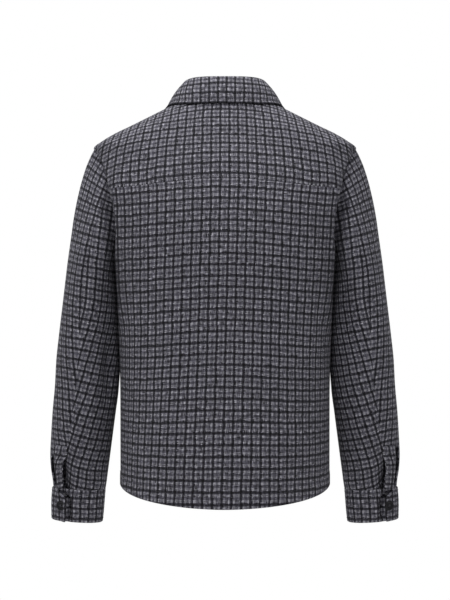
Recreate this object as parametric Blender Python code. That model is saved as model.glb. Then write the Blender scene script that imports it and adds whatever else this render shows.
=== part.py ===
"""Checked wool shirt-jacket, filled out as if worn, with nobody in it.

Metres, +Z up. The wearer would face +Y, so the back looks toward -Y and +X is the wearer's right.
The origin lies between the shoulders at the base of the neck, where the garment is held.
"""

import math

import bmesh
import bpy
import numpy as np
from mathutils import Vector
from mathutils.bvhtree import BVHTree

for old in list(bpy.data.objects):
    bpy.data.objects.remove(old)

# Cloth
CLOTH = 0.0020  # one layer of wool flannel
DOUBLE = 0.0030  # collar and cuffs, two layers pressed together
SEAM_GAP = 0.0003  # between the edges of two panels sewn together
LAY_GAP = 0.0004  # between a panel and a strip or button lying on it

# Grid counts of the panels
HALF_COLUMNS = 10  # centre back to the side
SIDE_ROWS = 9  # hem to armpit
BACK_ARM_ROWS = 6  # armpit to yoke seam
YOKE_ARM_ROWS = 4  # yoke seam to shoulder point
FRONT_ARM_ROWS = 10  # shoulder point to armpit, down the front
RIDGE_ROWS = 7  # shoulder point to neck
NECK_ROWS = 5  # centre front to the side of the neck
SLEEVE_ROWS = 20
FRONT_SEAM = 7  # armhole row where the sleeve's front seam starts

# Armhole, an oval seen from the side
ARMPIT_Z = -0.270
ARMHOLE_HEIGHT = 0.205
ARMHOLE_BACK = 0.070
ARMHOLE_FRONT = 0.066
ARMHOLE_ROUND = 0.9
YOKE_SEAM_Z = -0.1321

# Neck
NECK_TOP = 0.0175
NECK_HALF = 0.083
FRONT_NECK = -0.072

HEM_POWER = 1.7  # how late the hem rises toward the sides
DROOP_REACH = 0.19  # distance from centre back over which the yoke seam comes down

# Sections of the body from the hem up, by the height of their sides
BODY_COLUMNS = (
    "level",
    "half_width",
    "side_y",
    "back_depth",
    "front_depth",
    "back_box",
    "front_box",
    "back_lift",
    "front_lift",
    "back_droop",
)
BODY_ROWS = (
    (-0.6613, 0.1885, 0.010, 0.155, 0.135, 2.05, 2.10, -0.027, -0.022, 0.0),
    (-0.6000, 0.1885, 0.010, 0.153, 0.136, 2.10, 2.15, -0.012, -0.010, 0.0),
    (-0.5200, 0.1885, 0.010, 0.150, 0.137, 2.20, 2.20, -0.002, -0.002, 0.0),
    (-0.4300, 0.1895, 0.009, 0.147, 0.138, 2.35, 2.30, 0.0, 0.0, 0.0),
    (-0.3400, 0.1925, 0.008, 0.145, 0.138, 2.55, 2.40, 0.0, 0.0, 0.0),
    (-0.2700, 0.1965, 0.006, 0.144, 0.136, 2.75, 2.50, 0.0, 0.0, 0.0),
    (-0.2200, 0.1980, 0.005, 0.141, 0.131, 2.90, 2.60, 0.001, 0.0, 0.004),
    (-0.1650, 0.2055, 0.004, 0.134, 0.122, 3.00, 2.70, 0.003, 0.0, 0.0105),
    (-0.1300, 0.2148, 0.002, 0.124, 0.112, 3.00, 2.70, 0.005, 0.0, 0.0115),
    (-0.0950, 0.2218, 0.000, 0.112, 0.100, 2.90, 2.60, 0.006, 0.0, 0.008),
    (-0.0800, 0.2285, 0.000, 0.106, 0.093, 2.75, 2.50, 0.006, 0.0, 0.004),
    (-0.0650, 0.2353, 0.000, 0.100, 0.086, 2.60, 2.40, 0.006, 0.0, 0.0),
    (-0.0540, 0.2223, 0.000, 0.096, 0.082, 2.55, 2.35, 0.006, 0.0, 0.0),
    (-0.0405, 0.1998, 0.000, 0.092, 0.078, 2.50, 2.30, 0.006, 0.0, 0.0),
    (-0.0290, 0.1764, 0.000, 0.087, 0.073, 2.40, 2.25, 0.006, 0.0, 0.0),
    (-0.0105, 0.1395, 0.000, 0.079, 0.067, 2.30, 2.20, 0.006, 0.0, 0.0),
    (0.0072, 0.1040, 0.000, 0.070, 0.063, 2.20, 2.15, 0.006, 0.0, 0.0),
    (0.0175, 0.0830, 0.000, 0.062, 0.060, 2.10, 2.10, 0.006, 0.0, 0.0),
)

# Sections of the right sleeve from the armhole down. Drop is how far the outer edge lies below the origin.
SLEEVE_COLUMNS = (
    "drop",
    "outer_x",
    "inner_x",
    "inner_drop",
    "centre_y",
    "back_reach",
    "front_reach",
)
SLEEVE_ROWS_TABLE = (
    (0.0650, 0.2353, 0.1965, 0.2700, 0.005, 0.0700, 0.0660),
    (0.0974, 0.2493, 0.1974, 0.2745, 0.005, 0.0735, 0.0700),
    (0.1406, 0.2619, 0.1971, 0.2810, 0.006, 0.0765, 0.0740),
    (0.1838, 0.2709, 0.1967, 0.2885, 0.007, 0.0785, 0.0775),
    (0.2270, 0.2772, 0.1961, 0.2985, 0.008, 0.0795, 0.0795),
    (0.2702, 0.2835, 0.1951, 0.3150, 0.009, 0.0790, 0.0800),
    (0.3134, 0.2889, 0.1936, 0.3400, 0.010, 0.0770, 0.0790),
    (0.3566, 0.2943, 0.1921, 0.3730, 0.011, 0.0745, 0.0770),
    (0.3998, 0.2997, 0.1909, 0.4120, 0.012, 0.0720, 0.0740),
    (0.4430, 0.3045, 0.1903, 0.4530, 0.013, 0.0690, 0.0700),
    (0.4877, 0.3072, 0.1929, 0.4970, 0.015, 0.0655, 0.0660),
    (0.5304, 0.3115, 0.1985, 0.5390, 0.018, 0.0620, 0.0620),
    (0.5751, 0.3150, 0.2045, 0.5830, 0.022, 0.0580, 0.0570),
    (0.6200, 0.3175, 0.2105, 0.6265, 0.027, 0.0520, 0.0510),
    (0.6420, 0.3165, 0.2135, 0.6475, 0.030, 0.0480, 0.0470),
    (0.6610, 0.3140, 0.2160, 0.6660, 0.032, 0.0425, 0.0415),
    (0.6745, 0.3128, 0.2180, 0.6785, 0.033, 0.0390, 0.0380),
)
CAP_END = 0.36  # drop where the sleeve no longer follows the armhole's own curve

# How far the back seam swings round the sleeve on its way down, in degrees, and how far round it takes the cloth along
SEAM_COLUMNS = ("drop", "swing")
SEAM_ROWS = (
    (0.0650, 0.0),
    (0.2000, -4.0),
    (0.3500, -8.0),
    (0.4500, -8.0),
    (0.5300, -4.0),
    (0.6000, 3.0),
    (0.6450, 10.0),
    (0.6745, 11.0),
)
SWING_REACH = 45.0

# Largest folds of the sleeves. Turn is degrees round from the underarm by way of the back, 180 at the outer edge.
FOLD_COLUMNS = ("drop", "turn", "half_length", "half_width", "slant", "height")
FOLDS = {
    "right": (
        (0.615, 131.0, 0.055, 13.0, 0.0, -0.0055),
        (0.600, 90.0, 0.060, 20.0, -60.0, 0.0035),
        (0.330, 52.0, 0.120, 22.0, 0.0, -0.0060),
        (0.455, 250.0, 0.045, 26.0, 200.0, -0.0050),
        (0.520, 290.0, 0.045, 26.0, -180.0, -0.0040),
    ),
    "left": (
        (0.618, 130.0, 0.055, 13.0, 0.0, -0.0060),
        (0.605, 88.0, 0.060, 20.0, -50.0, 0.0030),
        (0.340, 50.0, 0.120, 22.0, 0.0, -0.0060),
        (0.470, 255.0, 0.045, 26.0, 180.0, -0.0045),
        (0.535, 285.0, 0.045, 26.0, -200.0, -0.0040),
    ),
}

# Cuff, from its top edge to its lower edge
CUFF_COLUMNS = (
    "down",
    "outer_x",
    "outer_drop",
    "inner_x",
    "inner_drop",
    "centre_y",
    "reach",
)
CUFF_ROWS = (
    (0.0, 0.3132, 0.6751, 0.2180, 0.6791, 0.0330, 0.0395),
    (0.4, 0.3142, 0.6974, 0.2205, 0.7024, 0.0335, 0.0375),
    (1.0, 0.3148, 0.7310, 0.2232, 0.7380, 0.0345, 0.0350),
)
CUFF_LAP_START = 107.0  # turn of the lapping end's edge
CUFF_LAP_END = 148.0  # turn of the covered end's edge
CUFF_EASE = 45.0  # degrees over which the lapping end comes down to the band
CUFF_STEPS = 33
CUFF_CORNER = (14.0, 0.0, 2.0)  # degrees cut from the lapping end at the top, middle and lower edge

# Collar, by the turn from centre back to centre front: top of the stand, and lower edge of the leaf
COLLAR_COLUMNS = (
    "turn",
    "stand_x",
    "stand_y",
    "stand_z",
    "edge_x",
    "edge_y",
    "edge_z",
)
COLLAR_ROWS = (
    (0.0, 0.0000, -0.0560, 0.0505, 0.0000, -0.0775, 0.0095),
    (25.0, 0.0290, -0.0520, 0.0508, 0.0460, -0.0720, 0.0092),
    (55.0, 0.0545, -0.0340, 0.0512, 0.0860, -0.0460, 0.0090),
    (85.0, 0.0665, -0.0045, 0.0500, 0.1045, -0.0040, 0.0100),
    (104.0, 0.0665, 0.0235, 0.0420, 0.1110, 0.0300, 0.0020),
    (123.0, 0.0585, 0.0475, 0.0260, 0.1090, 0.0550, -0.0220),
    (143.0, 0.0440, 0.0655, -0.0060, 0.0920, 0.0790, -0.0560),
    (161.0, 0.0245, 0.0785, -0.0365, 0.0700, 0.0940, -0.0880),
    (178.0, 0.0010, 0.0835, -0.0460, 0.0480, 0.1050, -0.1060),
)
# The turned edge of the leaf, outward and upward from the top of the stand
ROLL = (
    (-0.0027, 0.0006),
    (-0.0027, 0.0026),
    (-0.0015, 0.0051),
    (0.0015, 0.0068),
    (0.0055, 0.0060),
    (0.0085, 0.0025),
)
LEAF_ROWS = 5
LEAF_BOW = 0.0035
LEAF_CLEAR = 0.0008  # under the leaf at the back
LEAF_EASE = 0.0026  # more of it toward the front, where the chest curves away
LEAF_END = 176.0

# Front placket and buttons
PLACKET_HALF = 0.017
PLACKET_SHORT = 0.004  # how far its top stays below the collar stand
BUTTON_RADIUS = 0.0090
BUTTON_HEIGHT = 0.0032
FRONT_BUTTONS = 6
FRONT_BUTTON_TOP = -0.098
FRONT_BUTTON_PITCH = 0.092
CUFF_BUTTON_TURN = 122.0
CUFF_BUTTON_DOWN = 0.5
STRIP_ROWS = 4  # sleeve rings under the sleeve placket

# Colours as linear values
WOOL = (0.070, 0.068, 0.078, 1.0)
BUTTON = (0.012, 0.012, 0.014, 1.0)

HALF_TURN = math.pi
QUARTER = math.pi / 2


def smooth(knots, values):
    """A curve through a table's values that doesn't swing past them."""
    knots, values = np.asarray(knots, float), np.asarray(values, float)
    step = np.diff(knots)
    slope = np.diff(values) / step
    bend = np.zeros(len(values))
    bend[0], bend[-1] = slope[0], slope[-1]
    for i in range(1, len(step)):
        if slope[i - 1] * slope[i] > 0:
            near, far = 2 * step[i] + step[i - 1], step[i] + 2 * step[i - 1]
            bend[i] = (near + far) / (near / slope[i - 1] + far / slope[i])

    def at(x):
        x = np.clip(x, knots[0], knots[-1])
        i = np.clip(np.searchsorted(knots, x) - 1, 0, len(step) - 1)
        s = (x - knots[i]) / step[i]
        rise = values[i] * (1 + 2 * s) * (1 - s) ** 2 + values[i + 1] * s**2 * (3 - 2 * s)
        return rise + step[i] * (bend[i] * s * (1 - s) ** 2 - bend[i + 1] * s**2 * (1 - s))

    return at


def curves(columns, rows):
    """One smooth curve over the first column for each of the other columns."""
    table = np.array(rows)
    return {name: smooth(table[:, 0], table[:, i + 1]) for i, name in enumerate(columns[1:])}


BODY = curves(BODY_COLUMNS, BODY_ROWS)
SLEEVE = curves(SLEEVE_COLUMNS, SLEEVE_ROWS_TABLE)
SEAM = curves(SEAM_COLUMNS, SEAM_ROWS)
CUFF = curves(CUFF_COLUMNS, CUFF_ROWS)
COLLAR = curves(COLLAR_COLUMNS, COLLAR_ROWS)
SHOULDER_Z = ARMPIT_Z + ARMHOLE_HEIGHT
HEM_LEVEL = BODY_ROWS[0][0]
SLEEVE_TOP, SLEEVE_END = SLEEVE_ROWS_TABLE[0][0], SLEEVE_ROWS_TABLE[-1][0]


def mirrored(points):
    return points * np.array([-1.0, 1.0, 1.0])


def body_point(angle, level):
    """A point of the body: angle 0 at centre back, a quarter turn at the right side, a half turn at centre front."""
    angle, level = np.broadcast_arrays(np.asarray(angle, float), np.asarray(level, float))
    back = angle < QUARTER
    box = np.where(back, BODY["back_box"](level), BODY["front_box"](level))
    depth = np.where(back, -BODY["back_depth"](level), BODY["front_depth"](level))
    lift = np.where(back, BODY["back_lift"](level), BODY["front_lift"](level))
    aside = np.where(back, angle, HALF_TURN - angle) / QUARTER
    x = BODY["half_width"](level) * np.sin(angle).clip(0, 1) ** (2 / box)
    y = BODY["side_y"](level) + depth * np.abs(np.cos(angle)) ** (2 / box)
    z = level + lift * (1 - aside.clip(0, 1) ** HEM_POWER)
    reach = (x / DROOP_REACH).clip(0, 1)
    z = z - np.where(back, BODY["back_droop"](level), 0) * reach**2 * (3 - 2 * reach)
    return np.stack([x, y, z], -1)


def armhole(phi):
    """Angle and level of the armhole's edge: phi 0 at the armpit, a half turn at the shoulder, back side first."""
    phi = np.asarray(phi, float)
    level = ARMPIT_Z + ARMHOLE_HEIGHT * (1 - np.cos(phi)) / 2
    back = phi < HALF_TURN
    reach = np.where(back, ARMHOLE_BACK, ARMHOLE_FRONT) * np.abs(np.sin(phi)) ** ARMHOLE_ROUND
    depth = np.where(back, BODY["back_depth"](level), BODY["front_depth"](level))
    box = np.where(back, BODY["back_box"](level), BODY["front_box"](level))
    turn = np.arccos((reach / depth).clip(0, 1) ** (box / 2))
    return np.where(back, turn, HALF_TURN - turn), level


def neckline(share):
    """Angle and level of the front neckline: share 0 at centre front, 1 at the side of the neck."""
    x = NECK_HALF * math.sin(share * QUARTER)
    y = float(BODY["front_depth"](FRONT_NECK)) * math.cos(share * QUARTER)
    low, high = FRONT_NECK, NECK_TOP
    for _ in range(50):
        level = (low + high) / 2
        box = float(BODY["front_box"](level))
        inside = (x / float(BODY["half_width"](level))) ** box + (y / float(BODY["front_depth"](level))) ** box
        if inside < 1:
            low = level
        else:
            high = level
    if share == 0:
        return HALF_TURN, FRONT_NECK
    if share == 1:
        return QUARTER, NECK_TOP
    sine = (x / float(BODY["half_width"](level))) ** (float(BODY["front_box"](level)) / 2)
    return HALF_TURN - math.asin(min(1.0, sine)), level


def body_row(start, end, columns):
    """Points evenly along the body from one place to another, each an angle and a level."""
    share = np.linspace(0, 1, 301)
    fine = body_point(start[0] + (end[0] - start[0]) * share, start[1] + (end[1] - start[1]) * share)
    run = np.concatenate([[0], np.cumsum(np.linalg.norm(np.diff(fine, axis=0), axis=1))])
    places = np.linspace(0, run[-1], columns + 1)
    return np.stack([np.interp(places, run, fine[:, k]) for k in range(3)], -1)


def full_row(edge):
    right = body_row((0.0, edge[1]), edge, HALF_COLUMNS)
    return np.concatenate([mirrored(right)[::-1], right[1:]])


def pairs(angles, levels):
    return list(zip(np.broadcast_to(angles, np.shape(levels)), levels))


PHI_YOKE = math.acos(1 - 2 * (YOKE_SEAM_Z - ARMPIT_Z) / ARMHOLE_HEIGHT)
PHI_BACK = np.linspace(0, PHI_YOKE, BACK_ARM_ROWS + 1)
PHI_YOKE_ROWS = np.linspace(PHI_YOKE, HALF_TURN, YOKE_ARM_ROWS + 1)
PHI_FRONT = np.linspace(HALF_TURN, 2 * HALF_TURN, FRONT_ARM_ROWS + 1)
SIDE_LEVELS = np.linspace(HEM_LEVEL, ARMPIT_Z, SIDE_ROWS + 1)
RIDGE_LEVELS = np.linspace(SHOULDER_Z, NECK_TOP, RIDGE_ROWS + 1)

side_seam = pairs(QUARTER, SIDE_LEVELS)
ridge = pairs(QUARTER, RIDGE_LEVELS)
back_edge = side_seam + pairs(*armhole(PHI_BACK[1:]))
yoke_edge = pairs(*armhole(PHI_YOKE_ROWS[:-1])) + ridge
front_edge = side_seam + pairs(*armhole(PHI_FRONT[::-1][1:-1])) + [ridge[0]]

front_inner = pairs(HALF_TURN, np.linspace(HEM_LEVEL, FRONT_NECK, SIDE_ROWS + FRONT_ARM_ROWS - NECK_ROWS + 1))
front_inner += [neckline(share) for share in np.linspace(0, 1, NECK_ROWS + 1)[1:]]

back_panel = np.stack([full_row(edge) for edge in back_edge])
back_yoke = np.stack([full_row(edge) for edge in yoke_edge])
front_rows = []
for inner, edge in zip(front_inner[:-1], front_edge[:-1]):
    front_rows.append(body_row(inner, edge, RIDGE_ROWS))
front_rows.append(body_point(QUARTER, RIDGE_LEVELS[::-1]))
front_right = np.stack(front_rows)


def sleeve_ring(phi, drop):
    """The plain section of the right sleeve at one drop."""
    outer = np.array([SLEEVE["outer_x"](drop), -drop])
    inner = np.array([SLEEVE["inner_x"](drop), -SLEEVE["inner_drop"](drop)])
    across = ((1 - np.cos(phi)) / 2)[:, None]
    xz = inner + (outer - inner) * across
    sine = np.sin(phi)
    reach = np.where(sine > 0, SLEEVE["back_reach"](drop), SLEEVE["front_reach"](drop))
    y = SLEEVE["centre_y"](drop) - reach * np.sign(sine) * np.abs(sine) ** ARMHOLE_ROUND
    middle = (outer + inner) / 2
    centre = np.array([middle[0], float(SLEEVE["centre_y"](drop)), middle[1]])
    return np.stack([xz[:, 0], y, xz[:, 1]], -1), centre


def fold_height(folds, phi, drop):
    """How far the folds lift the cloth at each turn of one ring."""
    turn = np.degrees(phi)
    height = np.zeros(len(phi))
    for row in folds:
        fold = dict(zip(FOLD_COLUMNS, row))
        along = (drop - fold["drop"]) / fold["half_length"]
        aside = turn - fold["turn"] - fold["slant"] * (drop - fold["drop"])
        height += fold["height"] * np.exp(-(along**2)) * np.exp(-((aside / fold["half_width"]) ** 2))
    return height


def swung(phi, drop):
    """The turns of a ring's points, taken along by the back seam's swing."""
    away = np.degrees(phi - PHI_YOKE) / SWING_REACH
    return phi + np.radians(SEAM["swing"](drop)) * np.exp(-(away**2))


def sleeve_grid(phi, drops, folds):
    """Rings of the right sleeve, the first on the armhole's edge."""
    edge = body_point(*armhole(phi))
    first, _ = sleeve_ring(phi, SLEEVE_TOP)
    rings, centres = [], []
    for drop in drops:
        turns = swung(phi, drop)
        ring, centre = sleeve_ring(turns, drop)
        share = min(1.0, (drop - SLEEVE_TOP) / (CAP_END - SLEEVE_TOP))
        ring = ring + (edge - first) * (1 - share) ** 2 * (1 + 2 * share)
        out = ring - centre
        out[:, 2] = 0
        out = out / np.maximum(np.linalg.norm(out, axis=1), 1e-9)[:, None]
        fade = min(1.0, (drop - SLEEVE_TOP) / 0.10) * min(1.0, (SLEEVE_END - drop) / 0.02)
        rings.append(ring + out * (fold_height(folds, turns, drop) * fade)[:, None])
        centres.append(np.broadcast_to(centre, ring.shape))
    return np.stack(rings), np.stack(centres)


PHI_RING = np.concatenate([PHI_BACK, PHI_YOKE_ROWS[1:], PHI_FRONT[1:]])
DROPS = np.concatenate([np.linspace(SLEEVE_TOP, 0.27, 8)[:-1], np.linspace(0.27, SLEEVE_END, SLEEVE_ROWS - 6)])
TOP_START = BACK_ARM_ROWS
TOP_END = BACK_ARM_ROWS + YOKE_ARM_ROWS + FRONT_SEAM


def split_sleeve(grid):
    """The top sleeve and the under sleeve of a ring grid whose last column is its first again."""
    return grid[:, TOP_START : TOP_END + 1], np.concatenate([grid[:, TOP_END:-1], grid[:, : TOP_START + 1]], 1)


def stand_base():
    """The neckline from centre front by the right side and the back to centre front again."""
    half = list(front_right[SIDE_ROWS + FRONT_ARM_ROWS - NECK_ROWS :, 0])
    back = list(back_yoke[-1])
    return np.array(half + back[::-1][1:] + [mirrored(p) for p in half[::-1]][1:])


def collar_turns(points):
    """Turn from centre back of each point round the neck, negative on the left."""
    return np.degrees(np.arctan2(points[:, 0], -(points[:, 1] - 0.008)))


def collar_curve(turns, part):
    turns = np.asarray(turns, float)
    return np.stack(
        [
            COLLAR[part + "_x"](np.abs(turns)) * np.sign(turns),
            COLLAR[part + "_y"](np.abs(turns)),
            COLLAR[part + "_z"](np.abs(turns)),
        ],
        -1,
    )


base = stand_base()
base_turns = collar_turns(base)
base_turns[0], base_turns[-1] = 178.0, -178.0
stand_top = collar_curve(base_turns, "stand")
STAND_SHARES = np.linspace(0, 1, 4)[:, None, None]
collar_stand = base[None] + (stand_top - base)[None] * STAND_SHARES

grids = {
    "back_panel": (back_panel, back_panel * np.array([0, 0, 1])),
    "back_yoke": (back_yoke, back_yoke * np.array([0, 0, 1])),
    "front_right": (front_right, front_right * np.array([0, 0, 1])),
    "front_left": (mirrored(front_right), front_right * np.array([0, 0, 1])),
    "collar_stand": (collar_stand, collar_stand * np.array([0, 0, 1])),
}
for side in ("right", "left"):
    rings, centres = sleeve_grid(PHI_RING, DROPS, FOLDS[side])
    if side == "left":
        rings, centres = mirrored(rings), mirrored(centres)
    for part, grid, core in zip(("top", "under"), split_sleeve(rings), split_sleeve(centres)):
        grids[f"{part}_sleeve_{side}"] = (grid, core)


def grid_normals(grid, core):
    """Unit normals of a grid of points, pointing away from its core."""
    normal = np.cross(np.gradient(grid, axis=0), np.gradient(grid, axis=1))
    normal = normal / np.maximum(np.linalg.norm(normal, axis=2), 1e-12)[..., None]
    return normal if (normal * (grid - core)).sum() > 0 else -normal


def shared_normals(grids):
    """Normals of all grids, with one common normal wherever their edges meet, body and sleeve counting alike."""
    found = {name: grid_normals(*pair) for name, pair in grids.items()}
    sums = {}
    for name, (grid, _) in grids.items():
        kind = "sleeve" if "sleeve" in name else "body"
        for point, normal in zip(grid.reshape(-1, 3), found[name].reshape(-1, 3)):
            key = tuple(np.round(point, 6) + 0.0)
            place = sums.setdefault(key, {})
            place[kind] = place.get(kind, 0) + normal
    shared = {}
    for name, (grid, _) in grids.items():
        flat = []
        for point in grid.reshape(-1, 3):
            place = sums[tuple(np.round(point, 6) + 0.0)]
            total = sum(normal / np.linalg.norm(normal) for normal in place.values())
            flat.append(total / np.linalg.norm(total))
        shared[name] = np.array(flat).reshape(grid.shape)
    return shared


def edge_shift(grid, normals, amount):
    """Moves that draw each edge of a grid inward, square to its normals, so that two sewn edges stay parallel."""

    def toward(a, b, normal):
        step = b - a
        step = step - normal * (step * normal).sum(-1)[..., None]
        return step / np.linalg.norm(step, axis=-1)[..., None] * amount

    shift = np.zeros(grid.shape)
    shift[0] += toward(grid[0], grid[1], normals[0])
    shift[-1] += toward(grid[-1], grid[-2], normals[-1])
    shift[:, 0] += toward(grid[:, 0], grid[:, 1], normals[:, 0])
    shift[:, -1] += toward(grid[:, -1], grid[:, -2], normals[:, -1])
    return shift


def material(name, colour, roughness):
    mat = bpy.data.materials.new(name)
    mat.use_nodes = True
    shader = mat.node_tree.nodes["Principled BSDF"]
    shader.inputs["Base Color"].default_value = colour
    shader.inputs["Roughness"].default_value = roughness
    return mat


def add_object(name, verts, faces, colour, roughness):
    mesh = bpy.data.meshes.new(name)
    mesh.from_pydata([tuple(v) for v in verts], [], faces)
    body = bmesh.new()
    body.from_mesh(mesh)
    bmesh.ops.recalc_face_normals(body, faces=body.faces)
    bmesh.ops.triangulate(body, faces=body.faces)
    body.to_mesh(mesh)
    body.free()
    mesh.materials.append(material(name, colour, roughness))
    obj = bpy.data.objects.new(name, mesh)
    bpy.context.scene.collection.objects.link(obj)
    return obj


def add_wall(name, outer, inner):
    """A closed sheet of cloth between two grids of points."""
    rows, columns = outer.shape[:2]
    count = rows * columns
    number = np.arange(count).reshape(rows, columns)
    faces = []
    for r in range(rows - 1):
        for c in range(columns - 1):
            quad = [number[r, c], number[r, c + 1], number[r + 1, c + 1], number[r + 1, c]]
            faces.append([int(i) for i in quad])
            faces.append([int(i) + count for i in quad[::-1]])
    rim = list(number[0, :-1]) + list(number[:-1, -1]) + list(number[-1, :0:-1]) + list(number[:0:-1, 0])
    for a, b in zip(rim, rim[1:] + rim[:1]):
        faces.append([int(b), int(a), int(a) + count, int(b) + count])
    verts = np.concatenate([outer.reshape(-1, 3), inner.reshape(-1, 3)])
    return add_object(name, verts, faces, WOOL, 0.9)


def add_button(name, centre, normal):
    """A turned button with a raised rim, its back face on centre."""
    profile = (
        (0.0, 0.0),
        (0.80, 0.0),
        (1.0, 0.35),
        (1.0, 0.70),
        (0.86, 1.0),
        (0.66, 0.72),
        (0.0, 0.66),
    )
    turn = Vector((0, 0, 1)).rotation_difference(Vector(normal)).to_matrix()
    steps = 18
    verts, faces = [], []
    for share, height in profile[1:-1]:
        for k in range(steps):
            a = 2 * math.pi * k / steps
            at = Vector((math.cos(a) * share * BUTTON_RADIUS, math.sin(a) * share * BUTTON_RADIUS, 0))
            at.z = height * BUTTON_HEIGHT
            verts.append(turn @ at + Vector(centre))
    for r in range(len(profile) - 3):
        for k in range(steps):
            a, b = r * steps + k, r * steps + (k + 1) % steps
            faces.append([a, b, b + steps, a + steps])
    low, high = len(verts), len(verts) + 1
    verts.append(Vector(centre))
    verts.append(turn @ Vector((0, 0, profile[-1][1] * BUTTON_HEIGHT)) + Vector(centre))
    last = (len(profile) - 3) * steps
    for k in range(steps):
        faces.append([(k + 1) % steps, k, low])
        faces.append([last + k, last + (k + 1) % steps, high])
    return add_object(name, verts, faces, BUTTON, 0.35)


normals = shared_normals(grids)
ARMPIT_COLUMNS = {"back_panel": (0, -1), "front_right": (-1,), "front_left": (-1,)}
for name, (grid, _) in grids.items():
    shift = edge_shift(grid, normals[name], SEAM_GAP / 2)
    if name in ARMPIT_COLUMNS:
        for column in ARMPIT_COLUMNS[name]:
            shift[SIDE_ROWS, column, 0] -= np.sign(grid[SIDE_ROWS, column, 0]) * SEAM_GAP / 2
    thick = DOUBLE if name == "collar_stand" else CLOTH
    add_wall(name, grid + shift, grid + shift - normals[name] * thick)


def surface(names):
    """The outer faces of some panels, for laying other pieces on."""
    verts, quads = [], []
    for name in names:
        grid = grids[name][0]
        rows, columns = grid.shape[:2]
        number = len(verts) + np.arange(rows * columns).reshape(rows, columns)
        verts += [Vector(p) for p in grid.reshape(-1, 3)]
        for r in range(rows - 1):
            for c in range(columns - 1):
                a, b, d, e = number[r, c], number[r, c + 1], number[r + 1, c + 1], number[r + 1, c]
                quads += [(int(a), int(b), int(d)), (int(a), int(d), int(e))]
    return BVHTree.FromPolygons(verts, quads)


def pushed_clear(tree, point, core, clear):
    """The point, moved out so that it lies at least clear outside the faces of tree."""
    place, normal, _, _ = tree.find_nearest(Vector(point))
    if normal.dot(place - Vector(core)) < 0:
        normal = -normal
    high = (Vector(point) - place).dot(normal)
    if high >= clear:
        return np.array(point)
    return np.array(Vector(point) + normal * (clear - high))


# Collar leaf: rolled over the top of the stand, then out to its lower edge
under_leaf = surface(("back_yoke", "front_right", "front_left", "collar_stand"))
leaf_turns = base_turns.clip(-LEAF_END, LEAF_END)
leaf_top = collar_curve(leaf_turns, "stand")
leaf_edge = collar_curve(leaf_turns, "edge")
leaf_out = normals["collar_stand"][-1]
leaf_up = np.cross(np.gradient(leaf_top, axis=0), leaf_out)
leaf_up = leaf_up * np.sign(leaf_up[:, 2:]) / np.linalg.norm(leaf_up, axis=1)[:, None]
leaf_rows = [leaf_top + leaf_out * o + leaf_up * u for o, u in ROLL]
for share in np.linspace(0, 1, LEAF_ROWS + 1)[1:]:
    bow = LEAF_BOW * math.sin(math.pi * share)
    leaf_rows.append(leaf_rows[len(ROLL) - 1] * (1 - share) + leaf_edge * share + leaf_out * bow)
leaf = np.stack(leaf_rows)
core_line = np.array([0.0, 0.01, -0.15])
for r in range(len(ROLL), leaf.shape[0]):
    for c in range(leaf.shape[1]):
        clear = LEAF_CLEAR + LEAF_EASE * min(1.0, max(0.0, (abs(leaf_turns[c]) - 80) / 30))
        for _ in range(3):
            leaf[r, c] = pushed_clear(under_leaf, leaf[r, c], core_line, DOUBLE + clear)
leaf_normals = np.cross(np.gradient(leaf, axis=0), np.gradient(leaf, axis=1))
leaf_normals = leaf_normals / np.linalg.norm(leaf_normals, axis=2)[..., None]
if (leaf_normals[-2] * leaf_out).sum() < 0:
    leaf_normals = -leaf_normals
add_wall("collar_leaf", leaf, leaf - leaf_normals * DOUBLE)

# Front placket: a strip laid over the meeting edges of the two fronts
placket_levels = np.linspace(HEM_LEVEL, FRONT_NECK, SIDE_ROWS + FRONT_ARM_ROWS - NECK_ROWS + 1)
placket_levels[-1] -= PLACKET_SHORT
placket_rows = []
for level in placket_levels:
    row = []
    for x in (-PLACKET_HALF, 0.0, PLACKET_HALF):
        sine = (abs(x) / float(BODY["half_width"](level))) ** (float(BODY["front_box"](level)) / 2)
        point = body_point(HALF_TURN - math.asin(sine), level)
        row.append(point * np.array([1.0 if x > 0 else -1.0, 1.0, 1.0]))
    placket_rows.append(row)
placket = np.array(placket_rows)
placket_normals = grid_normals(placket, placket * np.array([0, 0, 1]))
add_wall(
    "front_placket",
    placket + placket_normals * (LAY_GAP + DOUBLE),
    placket + placket_normals * LAY_GAP,
)

for number in range(FRONT_BUTTONS):
    level = FRONT_BUTTON_TOP - number * FRONT_BUTTON_PITCH
    at = np.array([np.interp(level, placket[:, 1, 2], placket[:, 1, k]) for k in range(3)])
    out = np.array([np.interp(level, placket[:, 1, 2], placket_normals[:, 1, k]) for k in range(3)])
    add_button(f"front_button_{number + 1}", at + out * (DOUBLE + 2.5 * LAY_GAP), out)


def cuff_ring(turn, down, lift):
    """Points of the right cuff's outer face, lifted off the band by lift."""
    phi = np.radians(turn)
    outer = np.stack([CUFF["outer_x"](down), -CUFF["outer_drop"](down)], -1)
    inner = np.stack([CUFF["inner_x"](down), -CUFF["inner_drop"](down)], -1)
    half = (outer[:, 0] - inner[:, 0]) / 2 + lift
    reach = CUFF["reach"](down) + lift
    x = (outer[:, 0] + inner[:, 0]) / 2 - half * np.cos(phi)
    y = CUFF["centre_y"](down) - reach * np.sin(phi)
    z = inner[:, 1] + (outer[:, 1] - inner[:, 1]) * (1 - np.cos(phi)) / 2
    return np.stack([x, y, z], -1)


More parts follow.
